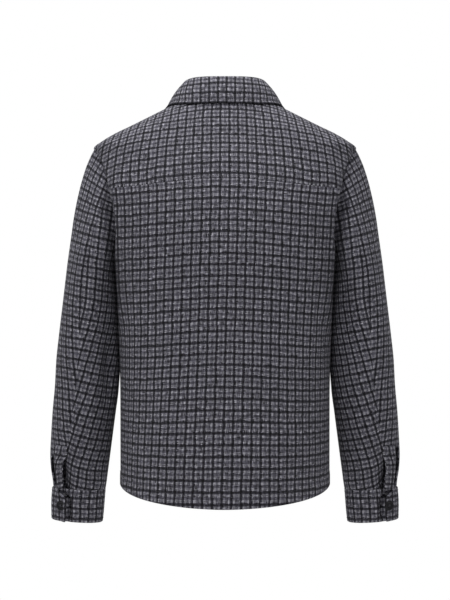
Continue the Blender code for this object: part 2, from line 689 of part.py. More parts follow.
CUFF_DOWN = (0.0, 0.4, 1.0)
cuff_rows = []
for down, corner in zip(CUFF_DOWN, CUFF_CORNER):
    turns = np.linspace(CUFF_LAP_START + corner, 360.0 + CUFF_LAP_END, CUFF_STEPS + 1)
    ease = ((turns - CUFF_LAP_END) / CUFF_EASE).clip(0, 1)
    lift = (DOUBLE + 0.0007) * (1 - ease**2 * (3 - 2 * ease))
    cuff_rows.append(cuff_ring(turns, np.full(len(turns), down), lift))
cuff = np.stack(cuff_rows)
cuff_core = np.broadcast_to(cuff.reshape(-1, 3).mean(0), cuff.shape)
cuff_normals = grid_normals(cuff, cuff_core)

for side in ("right", "left"):
    flip = mirrored if side == "left" else np.array
    add_wall(f"cuff_{side}", flip(cuff), flip(cuff - cuff_normals * DOUBLE))
    at = cuff_ring(np.array([CUFF_BUTTON_TURN]), np.array([CUFF_BUTTON_DOWN]), DOUBLE + 0.0007)[0]
    nearest = np.unravel_index(np.argmin(np.linalg.norm(cuff - at, axis=2)), cuff.shape[:2])
    out = cuff_normals[nearest]
    add_button(f"cuff_button_{side}", flip(at + out * 2 * LAY_GAP), flip(out))

    # Sleeve placket: a strip on the edge of the top sleeve, above the cuff
    grid, normal = grids[f"top_sleeve_{side}"][0], normals[f"top_sleeve_{side}"]
    strip, strip_out = grid[-STRIP_ROWS:, :2], normal[-STRIP_ROWS:, :2]
    shift = edge_shift(strip, strip_out, 0.0006)
    add_wall(
        f"sleeve_placket_{side}",
        strip + shift + strip_out * (LAY_GAP + CLOTH),
        strip + shift + strip_out * LAY_GAP,
    )

for obj in bpy.data.objects:
    print(obj.name, len(obj.data.polygons), [round(v, 4) for v in obj.dimensions])
print("triangles", sum(len(obj.data.polygons) for obj in bpy.data.objects))
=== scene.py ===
# %% [markdown]
# # A checked wool shirt-jacket
#
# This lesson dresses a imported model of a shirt-jacket, filled out as if worn and seen from the back. The
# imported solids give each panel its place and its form. Here every panel is cut again as a fine, thin shell
# of cloth with its creases and seams, and gets a woven check that follows the grain of its own cut.

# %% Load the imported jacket
import math

import bpy
import numpy as np
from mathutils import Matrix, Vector
from mathutils.bvhtree import BVHTree


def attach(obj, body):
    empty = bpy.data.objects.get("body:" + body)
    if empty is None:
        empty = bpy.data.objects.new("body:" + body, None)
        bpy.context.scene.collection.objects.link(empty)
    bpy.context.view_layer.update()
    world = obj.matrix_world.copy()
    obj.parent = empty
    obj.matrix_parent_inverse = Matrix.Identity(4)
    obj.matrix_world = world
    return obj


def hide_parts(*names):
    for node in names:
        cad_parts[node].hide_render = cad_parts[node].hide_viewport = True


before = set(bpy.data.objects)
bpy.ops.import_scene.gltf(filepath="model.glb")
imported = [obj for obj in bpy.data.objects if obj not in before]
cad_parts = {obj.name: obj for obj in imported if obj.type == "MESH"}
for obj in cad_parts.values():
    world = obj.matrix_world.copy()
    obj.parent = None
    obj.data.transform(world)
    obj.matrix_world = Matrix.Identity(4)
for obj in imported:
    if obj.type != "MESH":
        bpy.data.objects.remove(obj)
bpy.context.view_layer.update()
scene = bpy.context.scene

# %% [markdown]
# ## The camera and the studio
#
# The photo was taken from straight behind, at the height of the middle of the back, with a long lens. One
# pixel is 1.8 mm at the garment, which fixes the lens once the distance is chosen. A pale floor lies under
# the garment, and the light is soft: an even white sky all round, and one wide lamp overhead that makes the
# shoulders lighter.

# %% Camera
EYE_DISTANCE = 2.3
EYE_HEIGHT = -0.335
SENSOR = 36.0
FRAME_HEIGHT = 600 * 0.0018  # metres seen at the garment

view = bpy.data.cameras.new("camera")
view.sensor_fit = "VERTICAL"
view.sensor_height = SENSOR
view.lens = SENSOR * EYE_DISTANCE / FRAME_HEIGHT
camera = bpy.data.objects.new("camera", view)
camera.location = (0.0, -EYE_DISTANCE, EYE_HEIGHT)
camera.rotation_euler = (math.pi / 2, 0.0, 0.0)
scene.collection.objects.link(camera)
scene.camera = camera
scene.view_settings.view_transform = "Standard"
print("lens", round(view.lens, 2), "mm")

# %% Floor, sky and lamp
FLOOR_Z = -1.42  # a wearer's shoulders would be this high
FLOOR_RADIUS = 2.1
FLOOR_STEPS = 64
SKY_LIGHT = 0.62
SKY_SEEN = 1.0
LAMP_PLACE = (-0.38, -0.80, 2.0)
LAMP_AIM = (0.0, 0.0, -0.25)
LAMP_SIZE = 2.6
LAMP_POWER = 96.0


def circle(radius, height, count):
    """Points of a level circle round the z axis."""
    turns = [2 * math.pi * k / count for k in range(count)]
    return [(math.cos(a) * radius, math.sin(a) * radius, height) for a in turns]


floor_mesh = bpy.data.meshes.new("floor")
floor_mesh.from_pydata(circle(FLOOR_RADIUS, FLOOR_Z, FLOOR_STEPS), [], [tuple(range(FLOOR_STEPS))])
floor = bpy.data.objects.new("floor", floor_mesh)
scene.collection.objects.link(floor)
paper = bpy.data.materials.new("pale_floor")
paper.use_nodes = True
paper_shader = paper.node_tree.nodes["Principled BSDF"]
paper_shader.inputs["Base Color"].default_value = (0.9, 0.9, 0.9, 1.0)
paper_shader.inputs["Roughness"].default_value = 0.9
floor_mesh.materials.append(paper)

sky = bpy.data.worlds.new("soft_sky")
sky.use_nodes = True
scene.world = sky
back = sky.node_tree.nodes["Background"]
back.inputs["Color"].default_value = (1.0, 1.0, 1.0, 1.0)
path = sky.node_tree.nodes.new("ShaderNodeLightPath")
share = sky.node_tree.nodes.new("ShaderNodeMapRange")
share.inputs["To Min"].default_value = SKY_LIGHT
share.inputs["To Max"].default_value = SKY_SEEN
sky.node_tree.links.new(path.outputs["Is Camera Ray"], share.inputs["Value"])
sky.node_tree.links.new(share.outputs["Result"], back.inputs["Strength"])

lamp_data = bpy.data.lights.new("overhead", "AREA")
lamp_data.shape = "DISK"
lamp_data.size = LAMP_SIZE
lamp_data.energy = LAMP_POWER
lamp = bpy.data.objects.new("overhead", lamp_data)
lamp.location = LAMP_PLACE
lamp.rotation_euler = (Vector(LAMP_AIM) - Vector(LAMP_PLACE)).to_track_quat("-Z", "Y").to_euler()
scene.collection.objects.link(lamp)
print("stage ready")

# %% [markdown]
# ## Shader maths as plain expressions
#
# A check is arithmetic on two coordinates. Wrapping a socket in a small class lets that arithmetic be
# written as Python: each operator adds a Math node, and one method makes any other node.


# %% A socket that can be calculated with
class Wire:
    def __init__(self, tree, socket=None):
        self.tree = tree
        self.socket = socket

    def plug(self, node, inputs):
        """Fill the sockets of a node: a wire is linked, and anything else is a value."""
        for name, value in inputs.items():
            if isinstance(value, Wire):
                self.tree.links.new(value.socket, node.inputs[name])
            else:
                node.inputs[name].default_value = value

    def node(self, kind, settings=None, inputs=None, output=0):
        """Any node: its type, its settings, then the values or links of its sockets."""
        made = self.tree.nodes.new(kind)
        for name, value in (settings or {}).items():
            setattr(made, name, value)
        self.plug(made, inputs or {})
        return Wire(self.tree, made.outputs[output])

    def maths(self, operation, *values):
        return self.node("ShaderNodeMath", {"operation": operation}, dict(enumerate(values)))

    def __add__(self, other):
        return self.maths("ADD", self, other)

    def __sub__(self, other):
        return self.maths("SUBTRACT", self, other)

    def __mul__(self, other):
        return self.maths("MULTIPLY", self, other)

    def __truediv__(self, other):
        return self.maths("DIVIDE", self, other)

    def __rsub__(self, other):
        return self.maths("SUBTRACT", other, self)

    def __abs__(self):
        return self.maths("ABSOLUTE", self)

    __radd__ = __add__
    __rmul__ = __mul__


def noise(vector, scale, detail=2.0, roughness=0.5):
    inputs = {"Vector": vector, "Scale": scale, "Detail": detail, "Roughness": roughness}
    return vector.node("ShaderNodeTexNoise", inputs=inputs)


def mixed(start, share, first, second, blend="MIX"):
    """A colour between two colours or, with MULTIPLY and a share of 1, their product."""
    settings = {"data_type": "RGBA", "blend_type": blend}
    return start.node("ShaderNodeMix", settings, {0: share, 6: first, 7: second}, output=2)


def new_material(name):
    """A new material, its shader and a wire to start from."""
    made = bpy.data.materials.new(name)
    made.use_nodes = True
    return made, made.node_tree.nodes["Principled BSDF"], Wire(made.node_tree)


print("wire operators ready")

# %% [markdown]
# ## The checked wool
#
# The cloth is a napped twill. Its warp and weft each run light, dark, light, middle grey, so dark lines
# cross every 15 by 19 mm with a fainter line halfway between them, and a crossing is darker than either
# line. Each line is therefore a factor that multiplies the light wool. The pattern reads the piece's own
# map of cloth coordinates in metres, so it follows the cut of each panel, and fine streaks along both yarns
# mix the fibres.

# %% Wool material
PITCH_ACROSS = 0.01535
PITCH_ALONG = 0.01885
LINE_EDGE = 0.0016
LIGHT_WOOL = (0.173, 0.170, 0.187, 1.0)
DARK_TINT = (0.92, 0.90, 1.10, 1.0)
WARP_LINES = ((0.0, 0.0043, 0.12), (0.52, 0.0046, 0.52))  # share of the pitch, width, how much light is left
WEFT_LINES = ((0.0, 0.0049, 0.14), (0.51, 0.0046, 0.42))
TWILL_PITCH = 0.0016
TWILL_STEP = 0.00025
YARN_SCALE = 100.0
YARN_STRETCH = 8.5  # fibres lie along the yarn, so their streaks are this much finer across it
SWAY_SCALE, SWAY = 38.0, 0.0034  # how finely and how far the lines sway, in metres
FRAY = 0.0090  # how far the fibres fray the lines
MELANGE, DARKEST_FIBRE = 9.5, 0.15  # how much the fibres differ in lightness
CLOUD_SCALE, CLOUDS = 22.0, 0.2
NAP_SCALE = 1500.0
BUMP_HEIGHT = 0.0006


def line_factor(coordinate, pitch, lines):
    """How much light the lines of one thread direction leave."""
    left = None
    for place, width, keep in lines:
        share_of_pitch = coordinate / pitch - (place - 0.5)
        away = abs(share_of_pitch.maths("FRACT", share_of_pitch) - 0.5) * pitch
        edges = {
            "Value": away,
            "From Min": width / 2 - LINE_EDGE / 2,
            "From Max": width / 2 + LINE_EDGE / 2,
            "To Min": keep,
            "To Max": 1.0,
        }
        line = away.node("ShaderNodeMapRange", {"interpolation_type": "SMOOTHSTEP"}, edges)
        left = line if left is None else left * line
    return left


def make_wool():
    wool, shader, start = new_material("checked_wool")
    place = start.node("ShaderNodeTexCoord", output="Object")
    cloth = start.node("ShaderNodeUVMap", {"uv_map": "cloth"})
    across = cloth.node("ShaderNodeSeparateXYZ", inputs={0: cloth}, output=0)
    along = Wire(start.tree, across.socket.node.outputs[1])

    warp_way = start.node("ShaderNodeCombineXYZ", inputs={0: across, 1: along * YARN_STRETCH})
    weft_way = start.node("ShaderNodeCombineXYZ", inputs={0: across * YARN_STRETCH, 1: along, 2: 0.3})
    fibre = (noise(warp_way, YARN_SCALE, roughness=0.6) + noise(weft_way, YARN_SCALE, roughness=0.6)) * 0.5
    nap = noise(place, NAP_SCALE)
    twill = start.maths("SINE", (across + along) * (2 * math.pi / TWILL_PITCH))
    sway = (noise(place, SWAY_SCALE) - 0.5) * SWAY
    fray = (fibre - 0.5) * FRAY + twill * TWILL_STEP
    warp = line_factor(across + sway + fray, PITCH_ACROSS, WARP_LINES)
    weft = line_factor(along - sway + fray, PITCH_ALONG, WEFT_LINES)
    light = warp * weft

    melange = start.maths("MAXIMUM", (fibre - 0.5) * MELANGE + 1.0, DARKEST_FIBRE)
    strength = light * melange * (1 - CLOUDS / 2 + noise(place, CLOUD_SCALE) * CLOUDS)
    grey = start.node("ShaderNodeCombineColor", inputs={0: strength, 1: strength, 2: strength})
    tint = mixed(start, light, tuple(a * b for a, b in zip(LIGHT_WOOL, DARK_TINT)), LIGHT_WOOL)
    relief = twill * 0.35 + nap * 0.9 + fibre * 0.6
    bump = {"Height": relief, "Strength": 0.35, "Distance": BUMP_HEIGHT}
    looks = {
        "Base Color": mixed(start, 1.0, tint, grey, "MULTIPLY"),
        "Normal": start.node("ShaderNodeBump", inputs=bump),
        "Roughness": 0.86 + nap * 0.12,
        "Sheen Weight": 0.03,
        "Sheen Roughness": 0.5,
        "Sheen Tint": (0.75, 0.75, 0.8, 1.0),
        "Specular IOR Level": 0.2,
    }
    start.plug(shader, looks)
    return wool


WOOL = make_wool()
print("wool nodes", len(WOOL.node_tree.nodes))

# %% [markdown]
# ## Curves through the sizes
#
# The panels are worked out from the same short tables as the solids: sections of the body, of the sleeve,
# of the cuff and of the collar. A curve that doesn't swing past its values joins the rows of a table.

# %% Tables of sizes, in metres
BODY_COLUMNS = "level half_width side_y back_depth front_depth".split()
BODY_COLUMNS += "back_box front_box back_lift front_lift back_droop".split()
BODY_ROWS = (
    (-0.6613, 0.1885, 0.010, 0.155, 0.135, 2.05, 2.10, -0.027, -0.022, 0.0),
    (-0.6000, 0.1885, 0.010, 0.153, 0.136, 2.10, 2.15, -0.012, -0.010, 0.0),
    (-0.5200, 0.1885, 0.010, 0.150, 0.137, 2.20, 2.20, -0.002, -0.002, 0.0),
    (-0.4300, 0.1895, 0.009, 0.147, 0.138, 2.35, 2.30, 0.0, 0.0, 0.0),
    (-0.3400, 0.1925, 0.008, 0.145, 0.138, 2.55, 2.40, 0.0, 0.0, 0.0),
    (-0.2700, 0.1965, 0.006, 0.144, 0.136, 2.75, 2.50, 0.0, 0.0, 0.0),
    (-0.2200, 0.1980, 0.005, 0.141, 0.131, 2.90, 2.60, 0.001, 0.0, 0.004),
    (-0.1650, 0.2055, 0.004, 0.134, 0.122, 3.00, 2.70, 0.003, 0.0, 0.0105),
    (-0.1300, 0.2148, 0.002, 0.124, 0.112, 3.00, 2.70, 0.005, 0.0, 0.0115),
    (-0.0950, 0.2218, 0.000, 0.112, 0.100, 2.90, 2.60, 0.006, 0.0, 0.008),
    (-0.0800, 0.2285, 0.000, 0.106, 0.093, 2.75, 2.50, 0.006, 0.0, 0.004),
    (-0.0650, 0.2353, 0.000, 0.100, 0.086, 2.60, 2.40, 0.006, 0.0, 0.0),
    (-0.0540, 0.2223, 0.000, 0.096, 0.082, 2.55, 2.35, 0.006, 0.0, 0.0),
    (-0.0405, 0.1998, 0.000, 0.092, 0.078, 2.50, 2.30, 0.006, 0.0, 0.0),
    (-0.0290, 0.1764, 0.000, 0.087, 0.073, 2.40, 2.25, 0.006, 0.0, 0.0),
    (-0.0105, 0.1395, 0.000, 0.079, 0.067, 2.30, 2.20, 0.006, 0.0, 0.0),
    (0.0072, 0.1040, 0.000, 0.070, 0.063, 2.20, 2.15, 0.006, 0.0, 0.0),
    (0.0175, 0.0830, 0.000, 0.062, 0.060, 2.10, 2.10, 0.006, 0.0, 0.0),
)
SLEEVE_COLUMNS = "drop outer_x inner_x inner_drop centre_y back_reach front_reach".split()
SLEEVE_SECTIONS = (
    (0.0650, 0.2353, 0.1965, 0.2700, 0.005, 0.0700, 0.0660),
    (0.0974, 0.2493, 0.1974, 0.2745, 0.005, 0.0735, 0.0700),
    (0.1406, 0.2619, 0.1971, 0.2810, 0.006, 0.0765, 0.0740),
    (0.1838, 0.2709, 0.1967, 0.2885, 0.007, 0.0785, 0.0775),
    (0.2270, 0.2772, 0.1961, 0.2985, 0.008, 0.0795, 0.0795),
    (0.2702, 0.2835, 0.1951, 0.3150, 0.009, 0.0790, 0.0800),
    (0.3134, 0.2889, 0.1936, 0.3400, 0.010, 0.0770, 0.0790),
    (0.3566, 0.2943, 0.1921, 0.3730, 0.011, 0.0745, 0.0770),
    (0.3998, 0.2997, 0.1909, 0.4120, 0.012, 0.0720, 0.0740),
    (0.4430, 0.3045, 0.1903, 0.4530, 0.013, 0.0690, 0.0700),
    (0.4877, 0.3072, 0.1929, 0.4970, 0.015, 0.0655, 0.0660),
    (0.5304, 0.3115, 0.1985, 0.5390, 0.018, 0.0620, 0.0620),
    (0.5751, 0.3150, 0.2045, 0.5830, 0.022, 0.0580, 0.0570),
    (0.6200, 0.3175, 0.2105, 0.6265, 0.027, 0.0520, 0.0510),
    (0.6420, 0.3165, 0.2135, 0.6475, 0.030, 0.0480, 0.0470),
    (0.6610, 0.3140, 0.2160, 0.6660, 0.032, 0.0425, 0.0415),
    (0.6745, 0.3128, 0.2180, 0.6785, 0.033, 0.0390, 0.0380),
)
CUFF_COLUMNS = "down outer_x outer_drop inner_x inner_drop centre_y reach".split()
CUFF_ROWS = (
    (0.0, 0.3132, 0.6751, 0.2180, 0.6791, 0.0330, 0.0395),
    (0.4, 0.3142, 0.6974, 0.2205, 0.7024, 0.0335, 0.0375),
    (1.0, 0.3148, 0.7310, 0.2232, 0.7380, 0.0345, 0.0350),
)
COLLAR_COLUMNS = "turn stand_x stand_y stand_z edge_x edge_y edge_z".split()
COLLAR_ROWS = (
    (0.0, 0.0000, -0.0560, 0.0505, 0.0000, -0.0775, 0.0095),
    (25.0, 0.0290, -0.0520, 0.0508, 0.0460, -0.0720, 0.0092),
    (55.0, 0.0545, -0.0340, 0.0512, 0.0860, -0.0460, 0.0090),
    (85.0, 0.0665, -0.0045, 0.0500, 0.1045, -0.0040, 0.0100),
    (104.0, 0.0665, 0.0235, 0.0420, 0.1110, 0.0300, 0.0020),
    (123.0, 0.0585, 0.0475, 0.0260, 0.1090, 0.0550, -0.0220),
    (143.0, 0.0440, 0.0655, -0.0060, 0.0920, 0.0790, -0.0560),
    (161.0, 0.0245, 0.0785, -0.0365, 0.0700, 0.0940, -0.0880),
    (178.0, 0.0010, 0.0835, -0.0460, 0.0480, 0.1050, -0.1060),
)
print("sections", len(BODY_ROWS), len(SLEEVE_SECTIONS), len(CUFF_ROWS), len(COLLAR_ROWS))


# %% Smooth curves through a table
def smooth(knots, values):
    knots, values = np.asarray(knots, float), np.asarray(values, float)
    step = np.diff(knots)
    slope = np.diff(values) / step
    bend = np.zeros(len(values))
    bend[0], bend[-1] = slope[0], slope[-1]
    for i in range(1, len(step)):
        if slope[i - 1] * slope[i] > 0:
            near, far = 2 * step[i] + step[i - 1], step[i] + 2 * step[i - 1]
            bend[i] = (near + far) / (near / slope[i - 1] + far / slope[i])

    def at(x):
        x = np.clip(x, knots[0], knots[-1])
        i = np.clip(np.searchsorted(knots, x) - 1, 0, len(step) - 1)
        s = (x - knots[i]) / step[i]
        rise = values[i] * (1 + 2 * s) * (1 - s) ** 2 + values[i + 1] * s**2 * (3 - 2 * s)
        return rise + step[i] * (bend[i] * s * (1 - s) ** 2 - bend[i + 1] * s**2 * (1 - s))

    return at


def curves(columns, rows):
    table = np.array(rows)
    return {name: smooth(table[:, 0], table[:, i + 1]) for i, name in enumerate(columns[1:])}


def eased(x, low, high):
    """0 below low, 1 above high, and a soft step between."""
    t = np.clip((np.asarray(x, float) - low) / (high - low), 0, 1)
    return t * t * (3 - 2 * t)


def between(x, steps):
    """1 between the middle two of four steps, 0 outside the first and the last, and soft steps between."""
    return eased(x, steps[0], steps[1]) * (1 - eased(x, steps[2], steps[3]))


def shares(count, start=0.0, end=0.0):
    """Even steps from 0 to 1, crowded toward either end by the amount given there."""
    t = np.linspace(0, 1, count + 1)
    return t + end * t * (1 - t) - start * t * (1 - t)


BODY = curves(BODY_COLUMNS, BODY_ROWS)
SLEEVE = curves(SLEEVE_COLUMNS, SLEEVE_SECTIONS)
CUFF = curves(CUFF_COLUMNS, CUFF_ROWS)
COLLAR = curves(COLLAR_COLUMNS, COLLAR_ROWS)
print("curves", len(BODY) + len(SLEEVE) + len(CUFF) + len(COLLAR))

# %% [markdown]
# ## From a grid of points to a piece of cloth
#
# Each panel is a grid of points with a cloth coordinate at every point: how far it lies across and along
# the cut, in metres. A shell is then the grid, a second grid one cloth thickness further in, and a rounded
# rim that joins them, like a folded edge. A seam is drawn in a little, as stitching pulls two edges down
# into a groove.

# %% Measures on a grid of points
CLOTH = 0.0020
DOUBLE = 0.0030
SEAM_DEPTH = 0.0009
FLAT_SEAM_DEPTH = 0.0003  # where the edges are pressed to one side
SEAM_REACH = 0.0040


def unit(vectors):
    """The directions of some vectors."""
    return vectors / np.maximum(np.linalg.norm(vectors, axis=-1, keepdims=True), 1e-12)


def away_from(points, core):
    """Unit normals of a grid of points, pointing away from its core."""
    normal = unit(np.cross(np.gradient(points, axis=0), np.gradient(points, axis=1)))
    return normal if (normal * (points - core)).sum() > 0 else -normal


def runs(points, axis):
    """Distance along each row or column from its first point."""
    step = np.linalg.norm(np.diff(points, axis=axis), axis=2)
    first = np.zeros_like(step[:1]) if axis == 0 else np.zeros_like(step[:, :1])
    return np.concatenate([first, np.cumsum(step, axis=axis)], axis=axis)


def edge_distance(points, edge):
    """Distance of every point from one edge of its grid: top and foot are its last and first row."""
    axis = 0 if edge in ("foot", "top") else 1
    run = runs(points, axis)
    if edge in ("foot", "start"):
        return run
    last = run[-1:] if axis == 0 else run[:, -1:]
    return last - run


def seam_dip(points, seams):
    """How far seams draw the cloth in, from the depth of the seam along each named edge."""
    dip = np.zeros(points.shape[:2])
    for edge, depth in seams.items():
        dip = np.maximum(dip, depth * np.exp(-((edge_distance(points, edge) / SEAM_REACH) ** 2)))
    return dip


print("cloth", CLOTH, "m, doubled", DOUBLE, "m")

# %% Shells of cloth
RIM_ROUND = 0.45  # how far a rim bulges, as a share of the thickness
PIECES = {}


def outward_rim(points, normals, rim):
    """Directions that lead out of the sheet at its rim."""
    lead, side = np.zeros(points.shape), np.zeros(points.shape)
    lead[0], lead[-1] = points[0] - points[1], points[-1] - points[-2]
    side[:, 0], side[:, -1] = points[:, 0] - points[:, 1], points[:, -1] - points[:, -2]
    total = sum(unit(part - normals * (part * normals).sum(-1)[..., None]) for part in (lead, side))
    return unit(total.reshape(-1, 3)[rim])


def grid_quads(number):
    """The faces of a grid of numbered points."""
    quads = np.stack([number[:-1, :-1], number[:-1, 1:], number[1:, 1:], number[1:, :-1]], -1)
    return quads.reshape(-1, 4)


def add_piece(name, mesh):
    """A finished mesh as a piece that rides on the jacket."""
    mesh.shade_smooth()
    piece = bpy.data.objects.new(name, mesh)
    scene.collection.objects.link(piece)
    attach(piece, "root")
    return piece


def sew_shell(node, points, normals, cloth, thick):
    """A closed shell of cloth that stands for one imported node."""
    name = f"wool_{node}"
    rows, columns = points.shape[:2]
    count = rows * columns
    number = np.arange(count).reshape(rows, columns)
    rim = np.concatenate([number[0, :-1], number[:-1, -1], number[-1, :0:-1], number[:0:-1, 0]])
    outer, inner = points.reshape(-1, 3), (points - normals * thick).reshape(-1, 3)
    fold = (outer[rim] + inner[rim]) / 2 + outward_rim(points, normals, rim) * thick * RIM_ROUND
    verts = np.concatenate([outer, inner, fold])
    quad = grid_quads(number)
    edge = 2 * count + np.arange(len(rim))
    after, edge_after = np.roll(rim, -1), np.roll(edge, -1)
    outer_rim = np.stack([after, rim, edge, edge_after], -1)
    inner_rim = np.stack([edge_after, edge, rim + count, after + count], -1)
    faces = np.concatenate([quad, quad[:, ::-1] + count, outer_rim, inner_rim])
    middle = quad[len(quad) // 2]
    facing = np.cross(verts[middle[1]] - verts[middle[0]], verts[middle[3]] - verts[middle[0]])
    if facing @ normals.reshape(-1, 3)[middle[0]] < 0:
        faces = faces[:, ::-1]
    mesh = bpy.data.meshes.new(name)
    mesh.from_pydata(verts.tolist(), [], faces.tolist())
    flat_cloth = cloth.reshape(-1, 2)
    all_cloth = np.concatenate([flat_cloth, flat_cloth, flat_cloth[rim]])
    mesh.uv_layers.new(name="cloth").data.foreach_set("uv", all_cloth[faces.ravel()].ravel())
    mesh.materials.append(WOOL)
    piece = add_piece(name, mesh)
    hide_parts(node)
    PIECES[node] = {"piece": piece, "points": points, "normals": normals}
    print(name, len(faces) * 2, "triangles")


# %% [markdown]
# ## Creases
#
# Wool flannel this heavy falls in few, broad folds. Each crease is one row of a table: where it lies on the
# panel, which way it runs, how long and wide it is and how high it stands, with a shallow trough on one
# side of it.

# %% Listed creases
CREASE_COLUMNS = "across along tilt half_length half_width height bow".split()
TROUGH_DEPTH = 0.45  # shares of the crease's height and of its half width
TROUGH_AWAY = 1.7
TROUGH_WIDTH = 1.2


def crease_height(across, along, rows):
    height = np.zeros(across.shape)
    for row in rows:
        crease = dict(zip(CREASE_COLUMNS, row))
        tilt = math.radians(crease["tilt"])
        right, up = across - crease["across"], along - crease["along"]
        forward = right * math.cos(tilt) + up * math.sin(tilt)
        aside = up * math.cos(tilt) - right * math.sin(tilt) + crease["bow"] * forward**2
        fade = np.clip(1 - (forward / crease["half_length"]) ** 2, 0, 1) ** 2
        aside = aside / crease["half_width"]
        trough = TROUGH_DEPTH * np.exp(-(((aside - TROUGH_AWAY) / TROUGH_WIDTH) ** 2))
        height += crease["height"] * fade * (np.exp(-(aside**2)) - trough)
    return height


BACK_CREASES = (
    (-0.105, -0.235, 62.0, 0.095, 0.017, -0.0016, 1.2),
    (0.110, -0.240, 116.0, 0.090, 0.018, -0.0015, -1.0),
    (-0.150, -0.330, 70.0, 0.085, 0.013, 0.0013, 0.0),
    (0.152, -0.345, 108.0, 0.095, 0.014, 0.0014, 0.0),
    (-0.060, -0.420, 8.0, 0.095, 0.015, -0.0009, 1.0),
    (0.075, -0.465, -7.0, 0.085, 0.014, -0.0010, 1.4),
    (-0.095, -0.560, 94.0, 0.105, 0.020, 0.0015, 0.0),
    (0.020, -0.580, 87.0, 0.090, 0.022, -0.0012, 0.0),
    (0.120, -0.555, 92.0, 0.110, 0.019, 0.0015, 0.3),
    (0.000, -0.185, 90.0, 0.070, 0.026, -0.0008, 0.0),
)
YOKE_CREASES = (
    (-0.120, -0.095, 24.0, 0.070, 0.013, -0.0010, 0.8),
    (0.118, -0.092, 155.0, 0.070, 0.014, -0.0010, -0.8),
)
FRONT_CREASES = (
    (0.110, -0.230, 128.0, 0.090, 0.016, -0.0018, 0.0),
    (0.135, -0.345, 105.0, 0.095, 0.014, 0.0014, 0.0),
    (0.085, -0.540, 93.0, 0.110, 0.020, 0.0016, 0.0),
    (0.060, -0.420, 174.0, 0.060, 0.013, -0.0009, 1.0),
)
print("creases", len(BACK_CREASES) + len(YOKE_CREASES) + 2 * len(FRONT_CREASES))

# %% [markdown]
# ## The body of the jacket
#
# The body is one tube of sections. The back ends at the yoke seam, the yoke runs up over the shoulder
# blades to the shoulder seams, and two fronts meet under the placket. Along every seam the panels use the
# same points, so their edges meet.

# %% Points of the body
HALF_TURN = math.pi
QUARTER = math.pi / 2
ARMPIT_Z = -0.270
ARMHOLE_HEIGHT = 0.205
ARMHOLE_BACK = 0.070
ARMHOLE_FRONT = 0.066
ARMHOLE_ROUND = 0.9
YOKE_SEAM_Z = -0.1321
NECK_TOP = 0.0175
NECK_HALF = 0.083
FRONT_NECK = -0.072
HEM_POWER = 1.7
DROOP_REACH = 0.19
SHOULDER_Z = ARMPIT_Z + ARMHOLE_HEIGHT
HEM_LEVEL = BODY_ROWS[0][0]
FLIP = np.array([-1.0, 1.0, 1.0])
SIDES = {"right": np.ones(3), "left": FLIP}  # what turns a piece of the right side into either
UP_ONLY = np.array([0.0, 0.0, 1.0])


def body_point(angle, level):
    """A point of the body: angle 0 at centre back, a quarter turn at the side, a half turn in front."""
    angle, level = np.broadcast_arrays(np.asarray(angle, float), np.asarray(level, float))
    back_half = angle < QUARTER
    box = np.where(back_half, BODY["back_box"](level), BODY["front_box"](level))
    depth = np.where(back_half, -BODY["back_depth"](level), BODY["front_depth"](level))
    lift = np.where(back_half, BODY["back_lift"](level), BODY["front_lift"](level))
    aside = np.where(back_half, angle, HALF_TURN - angle) / QUARTER
    x = BODY["half_width"](level) * np.sin(angle).clip(0, 1) ** (2 / box)
    y = BODY["side_y"](level) + depth * np.abs(np.cos(angle)) ** (2 / box)
    z = level + lift * (1 - aside.clip(0, 1) ** HEM_POWER)
    z = z - np.where(back_half, BODY["back_droop"](level), 0) * eased(x, 0, DROOP_REACH)
    return np.stack([x, y, z], -1)


def armhole(phi):
    """Angle and level of the armhole's edge: phi 0 at the armpit, then up the back to the shoulder."""
    phi = np.asarray(phi, float)
    level = ARMPIT_Z + ARMHOLE_HEIGHT * (1 - np.cos(phi)) / 2
    back_half = phi < HALF_TURN
    reach = np.where(back_half, ARMHOLE_BACK, ARMHOLE_FRONT) * np.abs(np.sin(phi)) ** ARMHOLE_ROUND
    depth = np.where(back_half, BODY["back_depth"](level), BODY["front_depth"](level))
    box = np.where(back_half, BODY["back_box"](level), BODY["front_box"](level))
    turn = np.arccos((reach / depth).clip(0, 1) ** (box / 2))
    return np.where(back_half, turn, HALF_TURN - turn), level


def neckline(part):
    """Angle and level of the front neckline: part 0 at centre front, 1 at the side of the neck."""
    if part == 0:
        return HALF_TURN, FRONT_NECK
    if part == 1:
        return QUARTER, NECK_TOP
    x = NECK_HALF * math.sin(part * QUARTER)
    y = float(BODY["front_depth"](FRONT_NECK)) * math.cos(part * QUARTER)
    low, high = FRONT_NECK, NECK_TOP
    for _ in range(50):
        level = (low + high) / 2
        box, width, depth = (float(BODY[size](level)) for size in ("front_box", "half_width", "front_depth"))
        inside = (x / width) ** box + (y / depth) ** box
        low, high = (level, high) if inside < 1 else (low, level)
    return HALF_TURN - math.asin(min(1.0, (x / width) ** (box / 2))), level


def body_row(start, end, places):
    """Points along the body from one angle and level to another, at the given shares of the way."""
    fine_share = np.linspace(0, 1, 401)
    fine = body_point(*(a + (b - a) * fine_share for a, b in zip(start, end)))
    run = np.concatenate([[0], np.cumsum(np.linalg.norm(np.diff(fine, axis=0), axis=1))])
    return np.stack([np.interp(places * run[-1], run, fine[:, k]) for k in range(3)], -1)


def pairs(angles, levels):
    return list(zip(np.broadcast_to(angles, np.shape(levels)), levels))


print("shoulder at", round(SHOULDER_Z, 3), "hem side at", HEM_LEVEL)

